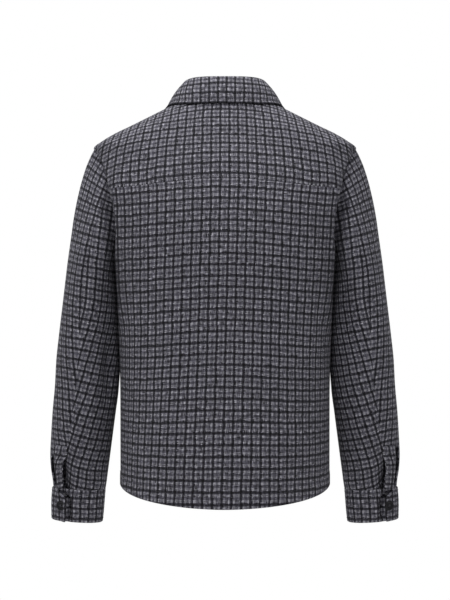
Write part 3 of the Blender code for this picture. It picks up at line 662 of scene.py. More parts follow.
# %% Rows and columns of the body panels
HALF_PLACES = shares(58, end=0.6)
SIDE_ROWS = 96
FRONT_ARM_ROWS = 60
NECK_ROWS = 26
RIDGE_ROWS = 46
PHI_YOKE = math.acos(1 - 2 * (YOKE_SEAM_Z - ARMPIT_Z) / ARMHOLE_HEIGHT)
PHI_BACK = PHI_YOKE * shares(36, end=0.5)
PHI_UPPER = PHI_YOKE + (HALF_TURN - PHI_YOKE) * shares(44, start=0.3)
PHI_FRONT = HALF_TURN + HALF_TURN * shares(FRONT_ARM_ROWS)
SIDE_LEVELS = HEM_LEVEL + (ARMPIT_Z - HEM_LEVEL) * shares(SIDE_ROWS, start=0.6)
RIDGE_LEVELS = SHOULDER_Z + (NECK_TOP - SHOULDER_Z) * shares(RIDGE_ROWS)

side_seam = pairs(QUARTER, SIDE_LEVELS)
ridge = pairs(QUARTER, RIDGE_LEVELS)
back_edge = side_seam + pairs(*armhole(PHI_BACK[1:]))
yoke_edge = pairs(*armhole(PHI_UPPER[:-1])) + ridge
front_edge = side_seam + pairs(*armhole(PHI_FRONT[::-1][1:-1])) + [ridge[0]]
FRONT_ROWS = SIDE_ROWS + FRONT_ARM_ROWS - NECK_ROWS
front_levels = HEM_LEVEL + (FRONT_NECK - HEM_LEVEL) * shares(FRONT_ROWS, start=0.5)
front_inner = pairs(HALF_TURN, front_levels)
front_inner += [neckline(part) for part in np.linspace(0, 1, NECK_ROWS + 1)[1:]]


def full_row(edge):
    right = body_row((0.0, edge[1]), edge, HALF_PLACES)
    return np.concatenate([(right * FLIP)[::-1], right[1:]])


back_points = np.stack([full_row(edge) for edge in back_edge])
yoke_points = np.stack([full_row(edge) for edge in yoke_edge])
FRONT_PLACES = shares(RIDGE_ROWS, end=0.4)
front_rows = [body_row(a, b, FRONT_PLACES) for a, b in zip(front_inner[:-1], front_edge[:-1])]
front_rows.append(body_point(QUARTER, RIDGE_LEVELS[::-1]))
front_points = np.stack(front_rows)
print("back", back_points.shape, "yoke", yoke_points.shape, "front", front_points.shape)

# %% [markdown]
# ## How the check lies on the body
#
# On the back the warp leans a little, about one and a half degrees, and the weft droops toward the sides by
# about a centimetre. The cloth is eased larger toward the hem. The yoke is a piece of its own: its warp
# leans out toward the shoulder tips, its weft is measured over the curve of the shoulder at a constant
# distance from centre back, and where it meets the back the check doesn't match.

# %% Cloth coordinates of the back
WARP_LEAN = 0.0245
LEAN_CENTRE = -0.394
WARP_START = 0.0015
WEFT_START = -0.3494
WEFT_DROOP = 0.0105
HEM_DROOP = 0.3  # the share of the droop that is left at the hem
DROOP_LEVELS = (-0.66, -0.45)
SPREAD_LEVELS = (-0.70, -0.62, -0.50, -0.36, -0.20, -0.10)
SPREAD = smooth(SPREAD_LEVELS, (1.075, 1.065, 1.025, 1.0, 1.0, 1.03))
FLAT_RUN = 1.10  # near the armholes the cloth is stretched flat, so its warp lines don't crowd
FREE_RUN = 8.0
FREE_LEVELS = (-0.60, -0.22)


def grown(height):
    """Height along the cloth where the weft spreads toward the hem."""
    levels = np.linspace(-0.72, 0.10, 411)
    run = np.concatenate([[0], np.cumsum(np.diff(levels) / SPREAD((levels[1:] + levels[:-1]) / 2))])
    return np.interp(height, levels, run) - np.interp(WEFT_START, levels, run)


def centred(run):
    """Distances along each row, counted from its middle point."""
    middle = run.shape[1] // 2
    return run - run[:, middle : middle + 1]


def centre_run(points, limit):
    """Distance along each row from its middle point, growing at most limit times as fast as x does."""
    step = np.linalg.norm(np.diff(points, axis=1), axis=2)
    step = np.minimum(step, np.abs(np.diff(points[..., 0], axis=1)) * limit)
    return centred(np.concatenate([np.zeros_like(step[:, :1]), np.cumsum(step, axis=1)], axis=1))


back_z = back_points[..., 2]
free = (1 - eased(back_z[:, :1], *FREE_LEVELS)) ** 3
back_run = centre_run(back_points, FLAT_RUN + (FREE_RUN - FLAT_RUN) * free)
droop = WEFT_DROOP * eased(np.abs(back_run), 0.0, DROOP_REACH)
droop = droop * (HEM_DROOP + (1 - HEM_DROOP) * eased(back_z, *DROOP_LEVELS))
back_warp = back_run / SPREAD(back_z) - WARP_LEAN * (back_z - LEAN_CENTRE) - WARP_START
back_cloth = np.stack([back_warp, grown(back_z + droop)], -1)
print("weft droops", round(float(droop.max()), 4), "m")

# %% Cloth coordinates of the yoke
YOKE_WEFT = 0.0103
YOKE_SPREAD = 1.035
YOKE_BEND, YOKE_EASE = 0.064, 0.136  # how far up, and how much, the weft lines draw together at the neck
YOKE_HOLD, YOKE_NARROW = 0.188, 2.0  # from where, and how fast, they draw together toward the shoulder tips
YOKE_ANCHOR = 0.030  # under the ridge, where the lines on the back and those over the ridge are joined
YOKE_FALL = 0.0026  # how far the weft falls away toward the sides
FALL_START, FALL_END, FALL_BACK = (0.10, 0.15), (0.155, 0.19), 0.45
YOKE_STEEP, STEEP_REACH = 0.28, (0.14, 0.235)  # how much steeper it falls near the shoulder tips
YOKE_LEAN, LEAN_POWER = 1.9, 1.5  # how fast the warp leans out on the way up to them
YOKE_FOOT = YOKE_SEAM_Z - 0.01
YOKE_LINES = np.linspace(0.0, 0.232, 120)
DOWN_SHARES = np.linspace(1, 0, 200) ** 2  # closest near the ridge


def shoulder_ridge(x):
    """Level of the shoulder's ridge at a distance from centre back."""
    levels = np.linspace(NECK_TOP, YOKE_FOOT, 800)
    return np.interp(x, np.maximum.accumulate(BODY["half_width"](levels)), levels)


def ridge_run(x):
    """Distances from the shoulder's ridge down one line of the yoke, at the shares of its height."""
    levels = shoulder_ridge(x) - (shoulder_ridge(x) - YOKE_FOOT) * DOWN_SHARES
    sine = (x / BODY["half_width"](levels)) ** (BODY["back_box"](levels) / 2)
    line = body_point(np.arcsin(sine.clip(0, 1)), levels)
    step = np.linalg.norm(np.diff(line, axis=0), axis=1)
    return np.concatenate([np.cumsum(step[::-1])[::-1], [0.0]])


RIDGE_RUNS = np.stack([ridge_run(x) for x in YOKE_LINES])


def over_shoulder(aside, level):
    """Distance from the shoulder's ridge down to a level, that far aside from centre back."""
    aside = np.minimum(aside, YOKE_LINES[-1])
    top = shoulder_ridge(aside)
    down = np.sqrt(((top - level) / (top - YOKE_FOOT)).clip(0, 1))
    row, column = aside / YOKE_LINES[-1] * (len(YOKE_LINES) - 1), (1 - down) * (len(DOWN_SHARES) - 1)
    i = np.minimum(row.astype(int), len(YOKE_LINES) - 2)
    j = np.minimum(column.astype(int), len(DOWN_SHARES) - 2)
    row, column = row - i, column - j
    near = RIDGE_RUNS[i, j] * (1 - column) + RIDGE_RUNS[i, j + 1] * column
    far = RIDGE_RUNS[i + 1, j] * (1 - column) + RIDGE_RUNS[i + 1, j + 1] * column
    return near * (1 - row) + far * row


yoke_x, yoke_z = yoke_points[..., 0], yoke_points[..., 2]
yoke_side, yoke_aside = np.sign(yoke_x), np.abs(yoke_x)
yoke_level = np.array([edge[1] for edge in yoke_edge])[:, None]
held = np.minimum(yoke_aside, YOKE_HOLD)
anchor = shoulder_ridge(yoke_aside) - YOKE_ANCHOR
held_anchor = YOKE_SEAM_Z + (anchor - YOKE_SEAM_Z) / (1 - YOKE_NARROW * (yoke_aside - held))
above_seam = over_shoulder(held, YOKE_SEAM_Z) - over_shoulder(held, held_anchor)
above_seam = above_seam + over_shoulder(yoke_aside, anchor) - over_shoulder(yoke_aside, yoke_level)
seam_row = yoke_points[0]
yoke_across = np.interp(yoke_x, seam_row[:, 0], centre_run(yoke_points, FLAT_RUN)[0])
yoke_across += yoke_side * (yoke_aside - seam_row[-1, 0]).clip(0) * FLAT_RUN
yoke_fall = YOKE_FALL * eased(yoke_aside, *FALL_START) * (1 - FALL_BACK * eased(yoke_aside, *FALL_END))
yoke_fall = yoke_fall + YOKE_STEEP * eased(yoke_aside, *STEEP_REACH) * above_seam
yoke_along = above_seam + YOKE_EASE * (above_seam - YOKE_BEND).clip(0) + yoke_fall - YOKE_WEFT
yoke_rise = (yoke_z - seam_row[:, 2].max()).clip(0)
yoke_lean = YOKE_LEAN * yoke_side * (yoke_aside / DROOP_REACH) ** LEAN_POWER * yoke_rise**2
yoke_cloth = np.stack([(yoke_across + yoke_lean) / YOKE_SPREAD + PITCH_ACROSS / 2, yoke_along], -1)
print("yoke reaches", round(float(above_seam.max()), 3), "m above its seam")

# %% Cloth coordinates of the fronts
FRONT_WARP = 0.0040
front_z = front_points[..., 2]
front_run = runs(front_points, 1)
up_steps = np.diff(front_points, axis=0)
row_way = unit(np.gradient(front_points, axis=1)[1:])
up_steps = up_steps - row_way * (up_steps * row_way).sum(-1)[..., None]
climbed = np.cumsum(np.linalg.norm(up_steps, axis=2), axis=0)
front_up = np.concatenate([np.zeros_like(climbed[:1]), climbed])
below_armpit = np.arange(len(front_points))[:, None] <= SIDE_ROWS
front_along = np.where(below_armpit, front_z, front_z[SIDE_ROWS] + front_up - front_up[SIDE_ROWS])
front_cloth = np.stack([front_run + FRONT_WARP, front_along - WEFT_START], -1)
print("check laid on the body")

# %% Back panel, yoke and fronts
HEM_BAND = 0.020
HEM_LIFT = 0.0009
HEM_STEP = 0.004
HEM_GROOVE, GROOVE_REACH = 0.0007, 0.0028
LIP = 0.0110
LIP_EDGE = 0.005
LIP_REACH = 0.038
LIP_LEVELS = (-0.50, -0.36, -0.115, -0.07)
BACKWARD = np.array([0.0, -1.0, 0.0])


def hem_lift(points):
    """The turned-up hem is two layers thick, and its stitching draws a fine groove."""
    away = edge_distance(points, "foot")
    groove = HEM_GROOVE * np.exp(-(((away - HEM_BAND) / GROOVE_REACH) ** 2))
    return HEM_LIFT * (1 - eased(away, HEM_BAND, HEM_BAND + HEM_STEP)) - groove


def armhole_lip(points):
    """The back edge of the armhole stands a little proud: how far each point moves toward the back."""
    away = np.minimum(edge_distance(points, "start"), edge_distance(points, "end"))
    where = between(points[..., 2], LIP_LEVELS)
    return LIP * where * eased(away, 0.0, LIP_EDGE) * np.exp(-((away / LIP_REACH) ** 2))


def draped(points, core, across, along, creases, seams, hem=False):
    """The panel with its creases, its seams drawn in and its hem turned up, and the new normals."""
    normals = away_from(points, core)
    lift = crease_height(across, along, creases) - seam_dip(points, seams)
    if hem:
        lift = lift + hem_lift(points)
    moved = points + normals * lift[..., None]
    return moved, away_from(moved, core)


back_draped, back_normals = draped(
    back_points + BACKWARD * armhole_lip(back_points)[..., None],
    back_points * UP_ONLY,
    back_run,
    back_z,
    BACK_CREASES,
    {"start": SEAM_DEPTH, "end": SEAM_DEPTH, "top": FLAT_SEAM_DEPTH},
    hem=True,
)
sew_shell("back_panel", back_draped, back_normals, back_cloth, CLOTH)

yoke_draped, yoke_normals = draped(
    yoke_points + BACKWARD * armhole_lip(yoke_points)[..., None],
    yoke_points * UP_ONLY,
    yoke_across,
    yoke_z,
    YOKE_CREASES,
    {"foot": FLAT_SEAM_DEPTH, "start": FLAT_SEAM_DEPTH, "end": FLAT_SEAM_DEPTH},
)
sew_shell("back_yoke", yoke_draped, yoke_normals, yoke_cloth, CLOTH)

front_draped, front_normals = draped(
    front_points,
    front_points * UP_ONLY,
    front_run,
    front_z,
    FRONT_CREASES,
    {"end": SEAM_DEPTH, "top": FLAT_SEAM_DEPTH},
    hem=True,
)
for side, flip in SIDES.items():
    sew_shell(f"front_{side}", front_draped * flip, front_normals * flip, front_cloth, CLOTH)

# %% [markdown]
# ## The sleeves
#
# A sleeve is a stack of rings that starts on the armhole's own edge and ends at the cuff. It is cut in two:
# a top sleeve outside and an under sleeve next to the body. Their grains differ below the elbow, so the
# check meets in chevrons along the back seam. Above the cuff the seam is left open, and the under sleeve
# sinks behind the edge of the opening. The two sleeves don't hang quite alike, so some sizes are given for
# each side.

# %% Folds and seams of the sleeves
FOLD_COLUMNS = "drop turn half_length half_width slant height".split()
FOLDS = {
    "right": (
        (0.600, 90.0, 0.060, 20.0, -60.0, 0.0035),
        (0.340, 52.0, 0.125, 22.0, 0.0, -0.0080),
        (0.455, 250.0, 0.045, 26.0, 200.0, -0.0050),
        (0.520, 290.0, 0.045, 26.0, -180.0, -0.0040),
        (0.225, 118.0, 0.055, 13.0, -90.0, 0.0022),
        (0.300, 96.0, 0.070, 11.0, -60.0, -0.0016),
        (0.440, 84.0, 0.050, 12.0, 120.0, -0.0016),
        (0.500, 70.0, 0.045, 11.0, 140.0, 0.0015),
        (0.648, 84.0, 0.028, 8.0, 120.0, -0.0030),
        (0.644, 62.0, 0.026, 8.0, 80.0, -0.0024),
        (0.652, 72.0, 0.030, 7.0, 60.0, 0.0022),
        (0.646, 200.0, 0.028, 10.0, 0.0, -0.0024),
        (0.640, 235.0, 0.030, 11.0, 40.0, -0.0026),
        (0.400, 215.0, 0.060, 16.0, 150.0, -0.0020),
    ),
    "left": (
        (0.605, 88.0, 0.060, 20.0, -50.0, 0.0030),
        (0.340, 50.0, 0.120, 22.0, 0.0, -0.0040),
        (0.450, 38.0, 0.060, 18.0, 0.0, -0.0130),
        (0.470, 255.0, 0.045, 26.0, 180.0, -0.0045),
        (0.535, 285.0, 0.045, 26.0, -200.0, -0.0040),
        (0.215, 120.0, 0.060, 12.0, -80.0, 0.0024),
        (0.290, 100.0, 0.070, 11.0, -70.0, -0.0018),
        (0.430, 82.0, 0.055, 12.0, 110.0, -0.0017),
        (0.515, 72.0, 0.045, 11.0, 130.0, 0.0014),
        (0.645, 86.0, 0.028, 8.0, 110.0, -0.0032),
        (0.648, 64.0, 0.026, 8.0, 90.0, -0.0022),
        (0.650, 74.0, 0.030, 7.0, 70.0, 0.0022),
        (0.644, 204.0, 0.028, 10.0, 0.0, -0.0022),
        (0.642, 240.0, 0.030, 11.0, 30.0, -0.0028),
        (0.410, 210.0, 0.060, 16.0, 160.0, -0.0018),
    ),
}
SEAM_COLUMNS = ("drop", "swing")
SEAM_ROWS = (
    (0.0650, 0.0),
    (0.2000, -4.0),
    (0.3500, -8.0),
    (0.4500, -8.0),
    (0.5300, -5.0),
    (0.5900, -2.0),
    (0.6080, 0.0),
    (0.6240, 9.0),
    (0.6450, 12.0),
    (0.6745, 13.0),
)
SWING_REACH = 45.0
SWING_SHARE = {"right": 0.6, "left": 1.0}  # the right seam swings out less above its cuff
SEAM = curves(SEAM_COLUMNS, SEAM_ROWS)
print("folds", {side: len(rows) for side, rows in FOLDS.items()})

# %% Rings of the sleeve
CAP_END = 0.36
SLEEVE_TOP, SLEEVE_END = SLEEVE_SECTIONS[0][0], SLEEVE_SECTIONS[-1][0]
FRONT_SEAM = 42
FADE_TOP, FADE_END = 0.10, 0.02  # how far from either end of the sleeve its folds are full
PHI_RING = np.concatenate([PHI_BACK, PHI_UPPER[1:], PHI_FRONT[1:]])
DROPS = SLEEVE_TOP + (SLEEVE_END - SLEEVE_TOP) * shares(140, start=0.3, end=0.2)
BACK_SEAM = len(PHI_BACK) - 1
TOP_END = BACK_SEAM + len(PHI_UPPER) - 1 + FRONT_SEAM


def sleeve_ring(phi, drop):
    """The plain section of the right sleeve at one drop, and its centre."""
    outer = np.array([SLEEVE["outer_x"](drop), -drop])
    inner = np.array([SLEEVE["inner_x"](drop), -SLEEVE["inner_drop"](drop)])
    xz = inner + (outer - inner) * ((1 - np.cos(phi)) / 2)[:, None]
    sine = np.sin(phi)
    reach = np.where(sine > 0, SLEEVE["back_reach"](drop), SLEEVE["front_reach"](drop))
    middle = (outer + inner) / 2
    centre_y = float(SLEEVE["centre_y"](drop))
    y = centre_y - reach * np.sign(sine) * np.abs(sine) ** ARMHOLE_ROUND
    return np.stack([xz[:, 0], y, xz[:, 1]], -1), np.array([middle[0], centre_y, middle[1]])


def fold_height(folds, phi, drop):
    turn = np.degrees(phi)
    height = np.zeros(len(phi))
    for row in folds:
        fold = dict(zip(FOLD_COLUMNS, row))
        along = (drop - fold["drop"]) / fold["half_length"]
        aside = turn - fold["turn"] - fold["slant"] * (drop - fold["drop"])
        height += fold["height"] * np.exp(-(along**2)) * np.exp(-((aside / fold["half_width"]) ** 2))
    return height


def seam_swing(drop, side):
    """How far the back seam has swung round the sleeve at a drop, in radians."""
    swing = float(SEAM["swing"](drop))
    return math.radians(swing if swing < 0 else swing * SWING_SHARE[side])


def swung(phi, drop, side):
    """The turns of a ring's points, taken along as the back seam swings round the sleeve."""
    away = np.degrees(phi - PHI_YOKE) / SWING_REACH
    return phi + seam_swing(drop, side) * np.exp(-(away**2))


def sleeve_rings(side):
    """Rings with and without the folds, and the centre of each."""
    edge = body_point(*armhole(PHI_RING))
    first, _ = sleeve_ring(PHI_RING, SLEEVE_TOP)
    plain, folded, centres = [], [], []
    for drop in DROPS:
        turned = swung(PHI_RING, drop, side)
        ring, centre = sleeve_ring(turned, drop)
        part = min(1.0, (drop - SLEEVE_TOP) / (CAP_END - SLEEVE_TOP))
        ring = ring + (edge - first) * (1 - part) ** 2 * (1 + 2 * part)
        out = unit((ring - centre) * (1 - UP_ONLY))
        fade = min(1.0, (drop - SLEEVE_TOP) / FADE_TOP) * min(1.0, (SLEEVE_END - drop) / FADE_END)
        plain.append(ring)
        folded.append(ring + out * (fold_height(FOLDS[side], turned, drop) * fade)[:, None])
        centres.append(np.broadcast_to(centre, ring.shape))
    return np.stack(plain), np.stack(folded), np.stack(centres)


def split_sleeve(grid):
    """The top sleeve and the under sleeve of a grid of rings whose last column is its first again."""
    top = grid[:, BACK_SEAM : TOP_END + 1]
    return top, np.concatenate([grid[:, TOP_END:-1], grid[:, : BACK_SEAM + 1]], 1)


print("rings", len(DROPS), "of", len(PHI_RING), "points")

# %% Cloth coordinates of the sleeve
SLOPE_LEVELS = (-0.66, -0.55, -0.45, -0.396, -0.344, -0.291, -0.239, -0.186, -0.142, -0.08)
OUTER_SLOPE = smooth(SLOPE_LEVELS, (-2.0, -2.0, 1.0, 9.0, 15.0, 21.0, 26.0, 24.0, 28.0, 30.0))
INNER_SLOPE = smooth(SLOPE_LEVELS, (11.0, 11.0, 11.0, 11.0, 11.0, 10.5, 12.5, 20.0, 31.0, 36.0))
SLOPE_BEND = 0.022  # distance from the outer edge over which the weft turns
SEAM_SLOPE = 0.35  # how much steeper the weft runs beside the seam of the under sleeve
SEAM_SLOPE_DROPS = (0.36, 0.62)
LEAN_DROPS = (0.065, 0.15, 0.20, 0.25, 0.30, 0.34, 0.38, 0.45, 0.55, 0.62, 0.6745)
TOP_LEAN = smooth(LEAN_DROPS, (0.0, 0.0, 0.0, 0.0, 0.0, 0.03, 0.07, 0.11, 0.12, 0.12, 0.12))
UNDER_LEAN = smooth(LEAN_DROPS, (0.20, 0.19, 0.16, 0.09, 0.05, -0.08, -0.24, -0.29, -0.31, -0.40, -0.52))
SLEEVE_WARP = 0.0060


def leaned(lean, drop):
    """How far round the sleeve a leaning warp has moved at a drop."""
    levels = np.linspace(SLEEVE_TOP, SLEEVE_END + 0.01, 300)
    moved = np.concatenate([[0], np.cumsum(np.diff(levels) * lean((levels[1:] + levels[:-1]) / 2))])
    return np.interp(drop, levels, moved)


def level_arcs(rings):
    """Distance round the sleeve from its outer line to every point, measured at the point's own height."""
    levels = np.linspace(rings[..., 2].min(), rings[..., 2].max(), 500)
    sections = []
    for column in rings[::-1].transpose(1, 0, 2):
        sections.append(np.stack([np.interp(levels, column[:, 2], column[:, k]) for k in (0, 1)], -1))
    arcs = runs(np.stack(sections, 1), 1)
    outer = BACK_SEAM + len(PHI_UPPER) - 1
    arcs = arcs - arcs[:, outer : outer + 1]
    return np.stack([np.interp(rings[:, j, 2], levels, arcs[:, j]) for j in range(rings.shape[1])], 1)


def sleeve_cloth(plain):
    """Cloth coordinates of the top sleeve and of the under sleeve, from rings without folds."""
    top, under = split_sleeve(plain)
    arcs = level_arcs(plain)
    top_run = arcs[:, BACK_SEAM : TOP_END + 1]
    all_round = arcs[:, -1:] - arcs[:, :1]
    under_run = np.concatenate([arcs[:, TOP_END:-1] - all_round, arcs[:, : BACK_SEAM + 1]], 1)
    from_seam = under_run[:, -1:] - under_run

    def weft(points):
        z = points[..., 2]
        inward = (SLEEVE["outer_x"](-z) - points[..., 0]).clip(0)
        outer_rise, inner_rise = (np.tan(np.radians(slope(z))) for slope in (OUTER_SLOPE, INNER_SLOPE))
        turned = SLOPE_BEND * (1 - np.exp(-inward / SLOPE_BEND))
        return z + inner_rise * inward + (outer_rise - inner_rise) * turned

    beside = SEAM_SLOPE * SLOPE_BEND * (1 - np.exp(-from_seam / SLOPE_BEND))
    beside = beside * eased(DROPS, *SEAM_SLOPE_DROPS)[:, None]
    top_cloth = np.stack([top_run + leaned(TOP_LEAN, -top[..., 2]) - SLEEVE_WARP, weft(top)], -1)
    under_warp = under_run + leaned(UNDER_LEAN, -under[..., 2])
    return top_cloth, np.stack([under_warp, weft(under) + beside], -1)


print("lean of the under sleeve at the cuff", round(float(UNDER_LEAN(SLEEVE_END)), 2))

# %% Sew the sleeves
TUCK_DEPTH = {"right": 0.0230, "left": 0.0165}
TUCK_TURNS = (8.0, 38.0, 85.0, 125.0)
TUCK_RUN = (0.0, 0.004, 0.012, 0.060)  # distances from the armhole's edge
PLEAT_DEPTH = 0.024
PLEAT_TURNS = (136.5, 139.5, 150.0, 154.0)
PLEAT_DROPS = {"right": (0.594, 0.606, 0.660, 0.672), "left": (0.610, 0.624, 0.660, 0.672)}
VENT_TOP = 0.596
VENT_FULL = 0.645
VENT_DEPTH = 0.0105
VENT_WIDTH = 17.0  # degrees of turn


def vent_sink(phi):
    """How far the under sleeve's edge sinks behind the opening above the cuff."""
    from_seam = math.degrees(PHI_YOKE) - np.degrees(phi)
    near = np.where(from_seam >= 0, np.exp(-((from_seam / VENT_WIDTH) ** 2)), 0.0)
    return VENT_DEPTH * near[None, :] * eased(DROPS, VENT_TOP, VENT_FULL)[:, None]


def tuck(points, phi, side):
    """How far the sleeve lies behind the back edge of the armhole."""
    where = between(np.degrees(phi), TUCK_TURNS)
    return TUCK_DEPTH[side] * where[None, :] * between(edge_distance(points, "foot"), TUCK_RUN)


def pleat(phi, side):
    """How deep the top sleeve folds in beside the strip of the opening."""
    turned = np.stack([np.degrees(swung(phi, drop, side)) for drop in DROPS])
    return PLEAT_DEPTH * between(turned, PLEAT_TURNS) * between(DROPS, PLEAT_DROPS[side])[:, None]


phi_halves = [half[0] for half in split_sleeve(PHI_RING[None, :])]
for side, flip in SIDES.items():
    plain, folded, centres = sleeve_rings(side)
    halves = zip(phi_halves, split_sleeve(folded), split_sleeve(centres), sleeve_cloth(plain))
    for part, (phi, points, core, cloth) in zip(("top", "under"), halves):
        normals = away_from(points, core)
        lift = -seam_dip(points, {"start": SEAM_DEPTH, "end": SEAM_DEPTH, "foot": SEAM_DEPTH})
        forward = tuck(points, phi, side)
        if part == "top":
            forward = forward + pleat(phi, side)
        else:
            lift = lift - vent_sink(phi)
        points = points + normals * lift[..., None] - BACKWARD * forward[..., None]
        sew_shell(f"{part}_sleeve_{side}", points * flip, away_from(points, core) * flip, cloth, CLOTH)

# %% [markdown]
# ## The collar
#
# The stand rises from the neckline, and the leaf rolls over its top and lies down on the yoke and the
# fronts. The leaf's points are pushed clear of whatever lies under it, so it follows the shoulders.

# %% Collar stand
STAND_ROWS = 14
NECK_CENTRE_Y = 0.008
COLLAR_END = COLLAR_ROWS[-1][0]

half = front_points[FRONT_ROWS:, 0]
base = np.concatenate([half, yoke_points[-1][::-1][1:], (half * FLIP)[::-1][1:]])
turns = np.degrees(np.arctan2(base[:, 0], -(base[:, 1] - NECK_CENTRE_Y)))
turns[0], turns[-1] = COLLAR_END, -COLLAR_END


def collar_curve(at_turns, part):
    size = np.abs(at_turns)
    x = COLLAR[part + "_x"](size) * np.sign(at_turns)
    return np.stack([x, COLLAR[part + "_y"](size), COLLAR[part + "_z"](size)], -1)


stand_top = collar_curve(turns, "stand")
stand_points = base[None] + (stand_top - base)[None] * np.linspace(0, 1, STAND_ROWS + 1)[:, None, None]
stand_normals = away_from(stand_points, stand_points * UP_ONLY)
stand_cloth = np.stack([centred(runs(stand_points, 1)), runs(stand_points, 0)], -1)
sew_shell("collar_stand", stand_points, stand_normals, stand_cloth, DOUBLE)

# %% Collar leaf
ROLL = (  # out from the stand, and up from its top
    (-0.0027, 0.0006),
    (-0.0027, 0.0026),
    (-0.0015, 0.0051),
    (0.0015, 0.0068),
    (0.0055, 0.0060),
    (0.0085, 0.0025),
)
ROLL_ROWS = 16
LEAF_ROWS = 22
LEAF_BOW = 0.0035
LEAF_CLEAR = 0.0012
LEAF_EASE, LEAF_FRONT = 0.0026, (80.0, 110.0)  # it lies looser past these turns, on the fronts
LEAF_START = (0.0031, 0.0010)
LEAF_END = 176.0
LEAF_EASE_TURN = 150.0
NECK_CORE = Vector((0.0, 0.01, -0.15))


def tree_of(grids):
    """The outer faces of some panels, for laying other pieces on."""
    verts, quads = [], []
    for grid in grids:
        rows, columns = grid.shape[:2]
        quads += grid_quads(len(verts) + np.arange(rows * columns).reshape(rows, columns)).tolist()
        verts += grid.reshape(-1, 3).tolist()
    return BVHTree.FromPolygons(verts, quads)


def pushed_clear(tree, point, core, clear):
    """The point, moved out so that it lies at least clear outside the faces of tree."""
    near, normal, _, _ = tree.find_nearest(Vector(point))
    if normal.dot(near - core) < 0:
        normal = -normal
    high = (Vector(point) - near).dot(normal)
    return np.array(point) if high >= clear else np.array(Vector(point) + normal * (clear - high))


turn_size = np.abs(turns)
front_part = np.maximum(turn_size - LEAF_EASE_TURN, 0.0) / (turn_size.max() - LEAF_EASE_TURN)
leaf_turns = np.sign(turns) * (turn_size - (turn_size.max() - LEAF_END) * front_part)
leaf_top, leaf_edge = collar_curve(leaf_turns, "stand"), collar_curve(leaf_turns, "edge")
leaf_out = stand_normals[-1]
leaf_up = np.cross(np.gradient(leaf_top, axis=0), leaf_out)
leaf_up = unit(leaf_up * np.sign(leaf_up[:, 2:]))
roll_knots = np.arange(len(ROLL))
roll_steps = np.linspace(0, len(ROLL) - 1, ROLL_ROWS + 1)
roll_out = smooth(roll_knots, [o for o, _ in ROLL])(roll_steps)
roll_up = smooth(roll_knots, [u for _, u in ROLL])(roll_steps)
leaf_rows = [leaf_top + leaf_out * o + leaf_up * u for o, u in zip(roll_out, roll_up)]
for part in np.linspace(0, 1, LEAF_ROWS + 1)[1:]:
    bow = LEAF_BOW * math.sin(math.pi * part)
    leaf_rows.append(leaf_rows[ROLL_ROWS] * (1 - part) + leaf_edge * part + leaf_out * bow)
leaf_points = np.stack(leaf_rows)
under_leaf = tree_of((yoke_points, front_points, front_points * FLIP, stand_points))
leaf_clear = DOUBLE + LEAF_CLEAR + LEAF_EASE * np.interp(np.abs(leaf_turns), LEAF_FRONT, (0.0, 1.0))
for row in leaf_points[ROLL_ROWS + 1 :]:
    for column, clear in enumerate(leaf_clear):
        for _ in range(3):
            row[column] = pushed_clear(under_leaf, row[column], NECK_CORE, clear)
leaf_normals = unit(np.cross(np.gradient(leaf_points, axis=0), np.gradient(leaf_points, axis=1)))
if (leaf_normals[-2] * leaf_out).sum() < 0:
    leaf_normals = -leaf_normals
leaf_cloth = -np.stack([centred(runs(leaf_points, 1)), edge_distance(leaf_points, "top")], -1) - LEAF_START
sew_shell("collar_leaf", leaf_points, leaf_normals, leaf_cloth, DOUBLE)

# %% [markdown]
# ## The cuffs and the plackets
#
# A cuff is a band of two layers that laps over itself, with the upper corner of the lapping end rounded
# off. A strip edges the opening of the sleeve above it. On the front a wider strip covers the meeting
# edges.

# %% Cut of the cuffs
CUFF_LAP_START = {"right": 114.5, "left": 109.5}
CUFF_LAP_END = 148.0
CUFF_EASE = 45.0
CUFF_STEPS = 300
CUFF_DOWN_ROWS = 26
CUFF_CORNER = 21.0
CUFF_CORNER_END = 0.36
CUFF_CURL = {"right": 0.0012, "left": 0.0042}
CUFF_CURL_REACH = 8.0
LAP_GROOVE = 0.0140
GROOVE_FOOT, GROOVE_LOSS = 0.78, 0.7  # from where down, and by how much, the groove gets shallower
LAP_GROOVE_REACH = {"right": 7.0, "left": 4.6}
CUFF_HEIGHT = 0.0575
CUFF_FOOT_CORNER, FOOT_CORNER_START = 2.0, 0.75
CUFF_PUFF = 0.0008
CUFF_START = (0.0005, 0.0050)
CUFF_UNDER_TURN = 440.0  # where the layer under the lap faces the back
CUFF_LIFT = DOUBLE + 0.0007


def cuff_ring(turn, down, lift):
    """Points of the right cuff's outer face, lifted off the band by lift."""
    phi = np.radians(turn)
    outer = np.stack([CUFF["outer_x"](down), -CUFF["outer_drop"](down)], -1)
    inner = np.stack([CUFF["inner_x"](down), -CUFF["inner_drop"](down)], -1)
    half_width = (outer[:, 0] - inner[:, 0]) / 2 + lift
    x = (outer[:, 0] + inner[:, 0]) / 2 - half_width * np.cos(phi)
    y = CUFF["centre_y"](down) - (CUFF["reach"](down) + lift) * np.sin(phi)
    z = inner[:, 1] + (outer[:, 1] - inner[:, 1]) * (1 - np.cos(phi)) / 2
    return np.stack([x, y, z], -1)


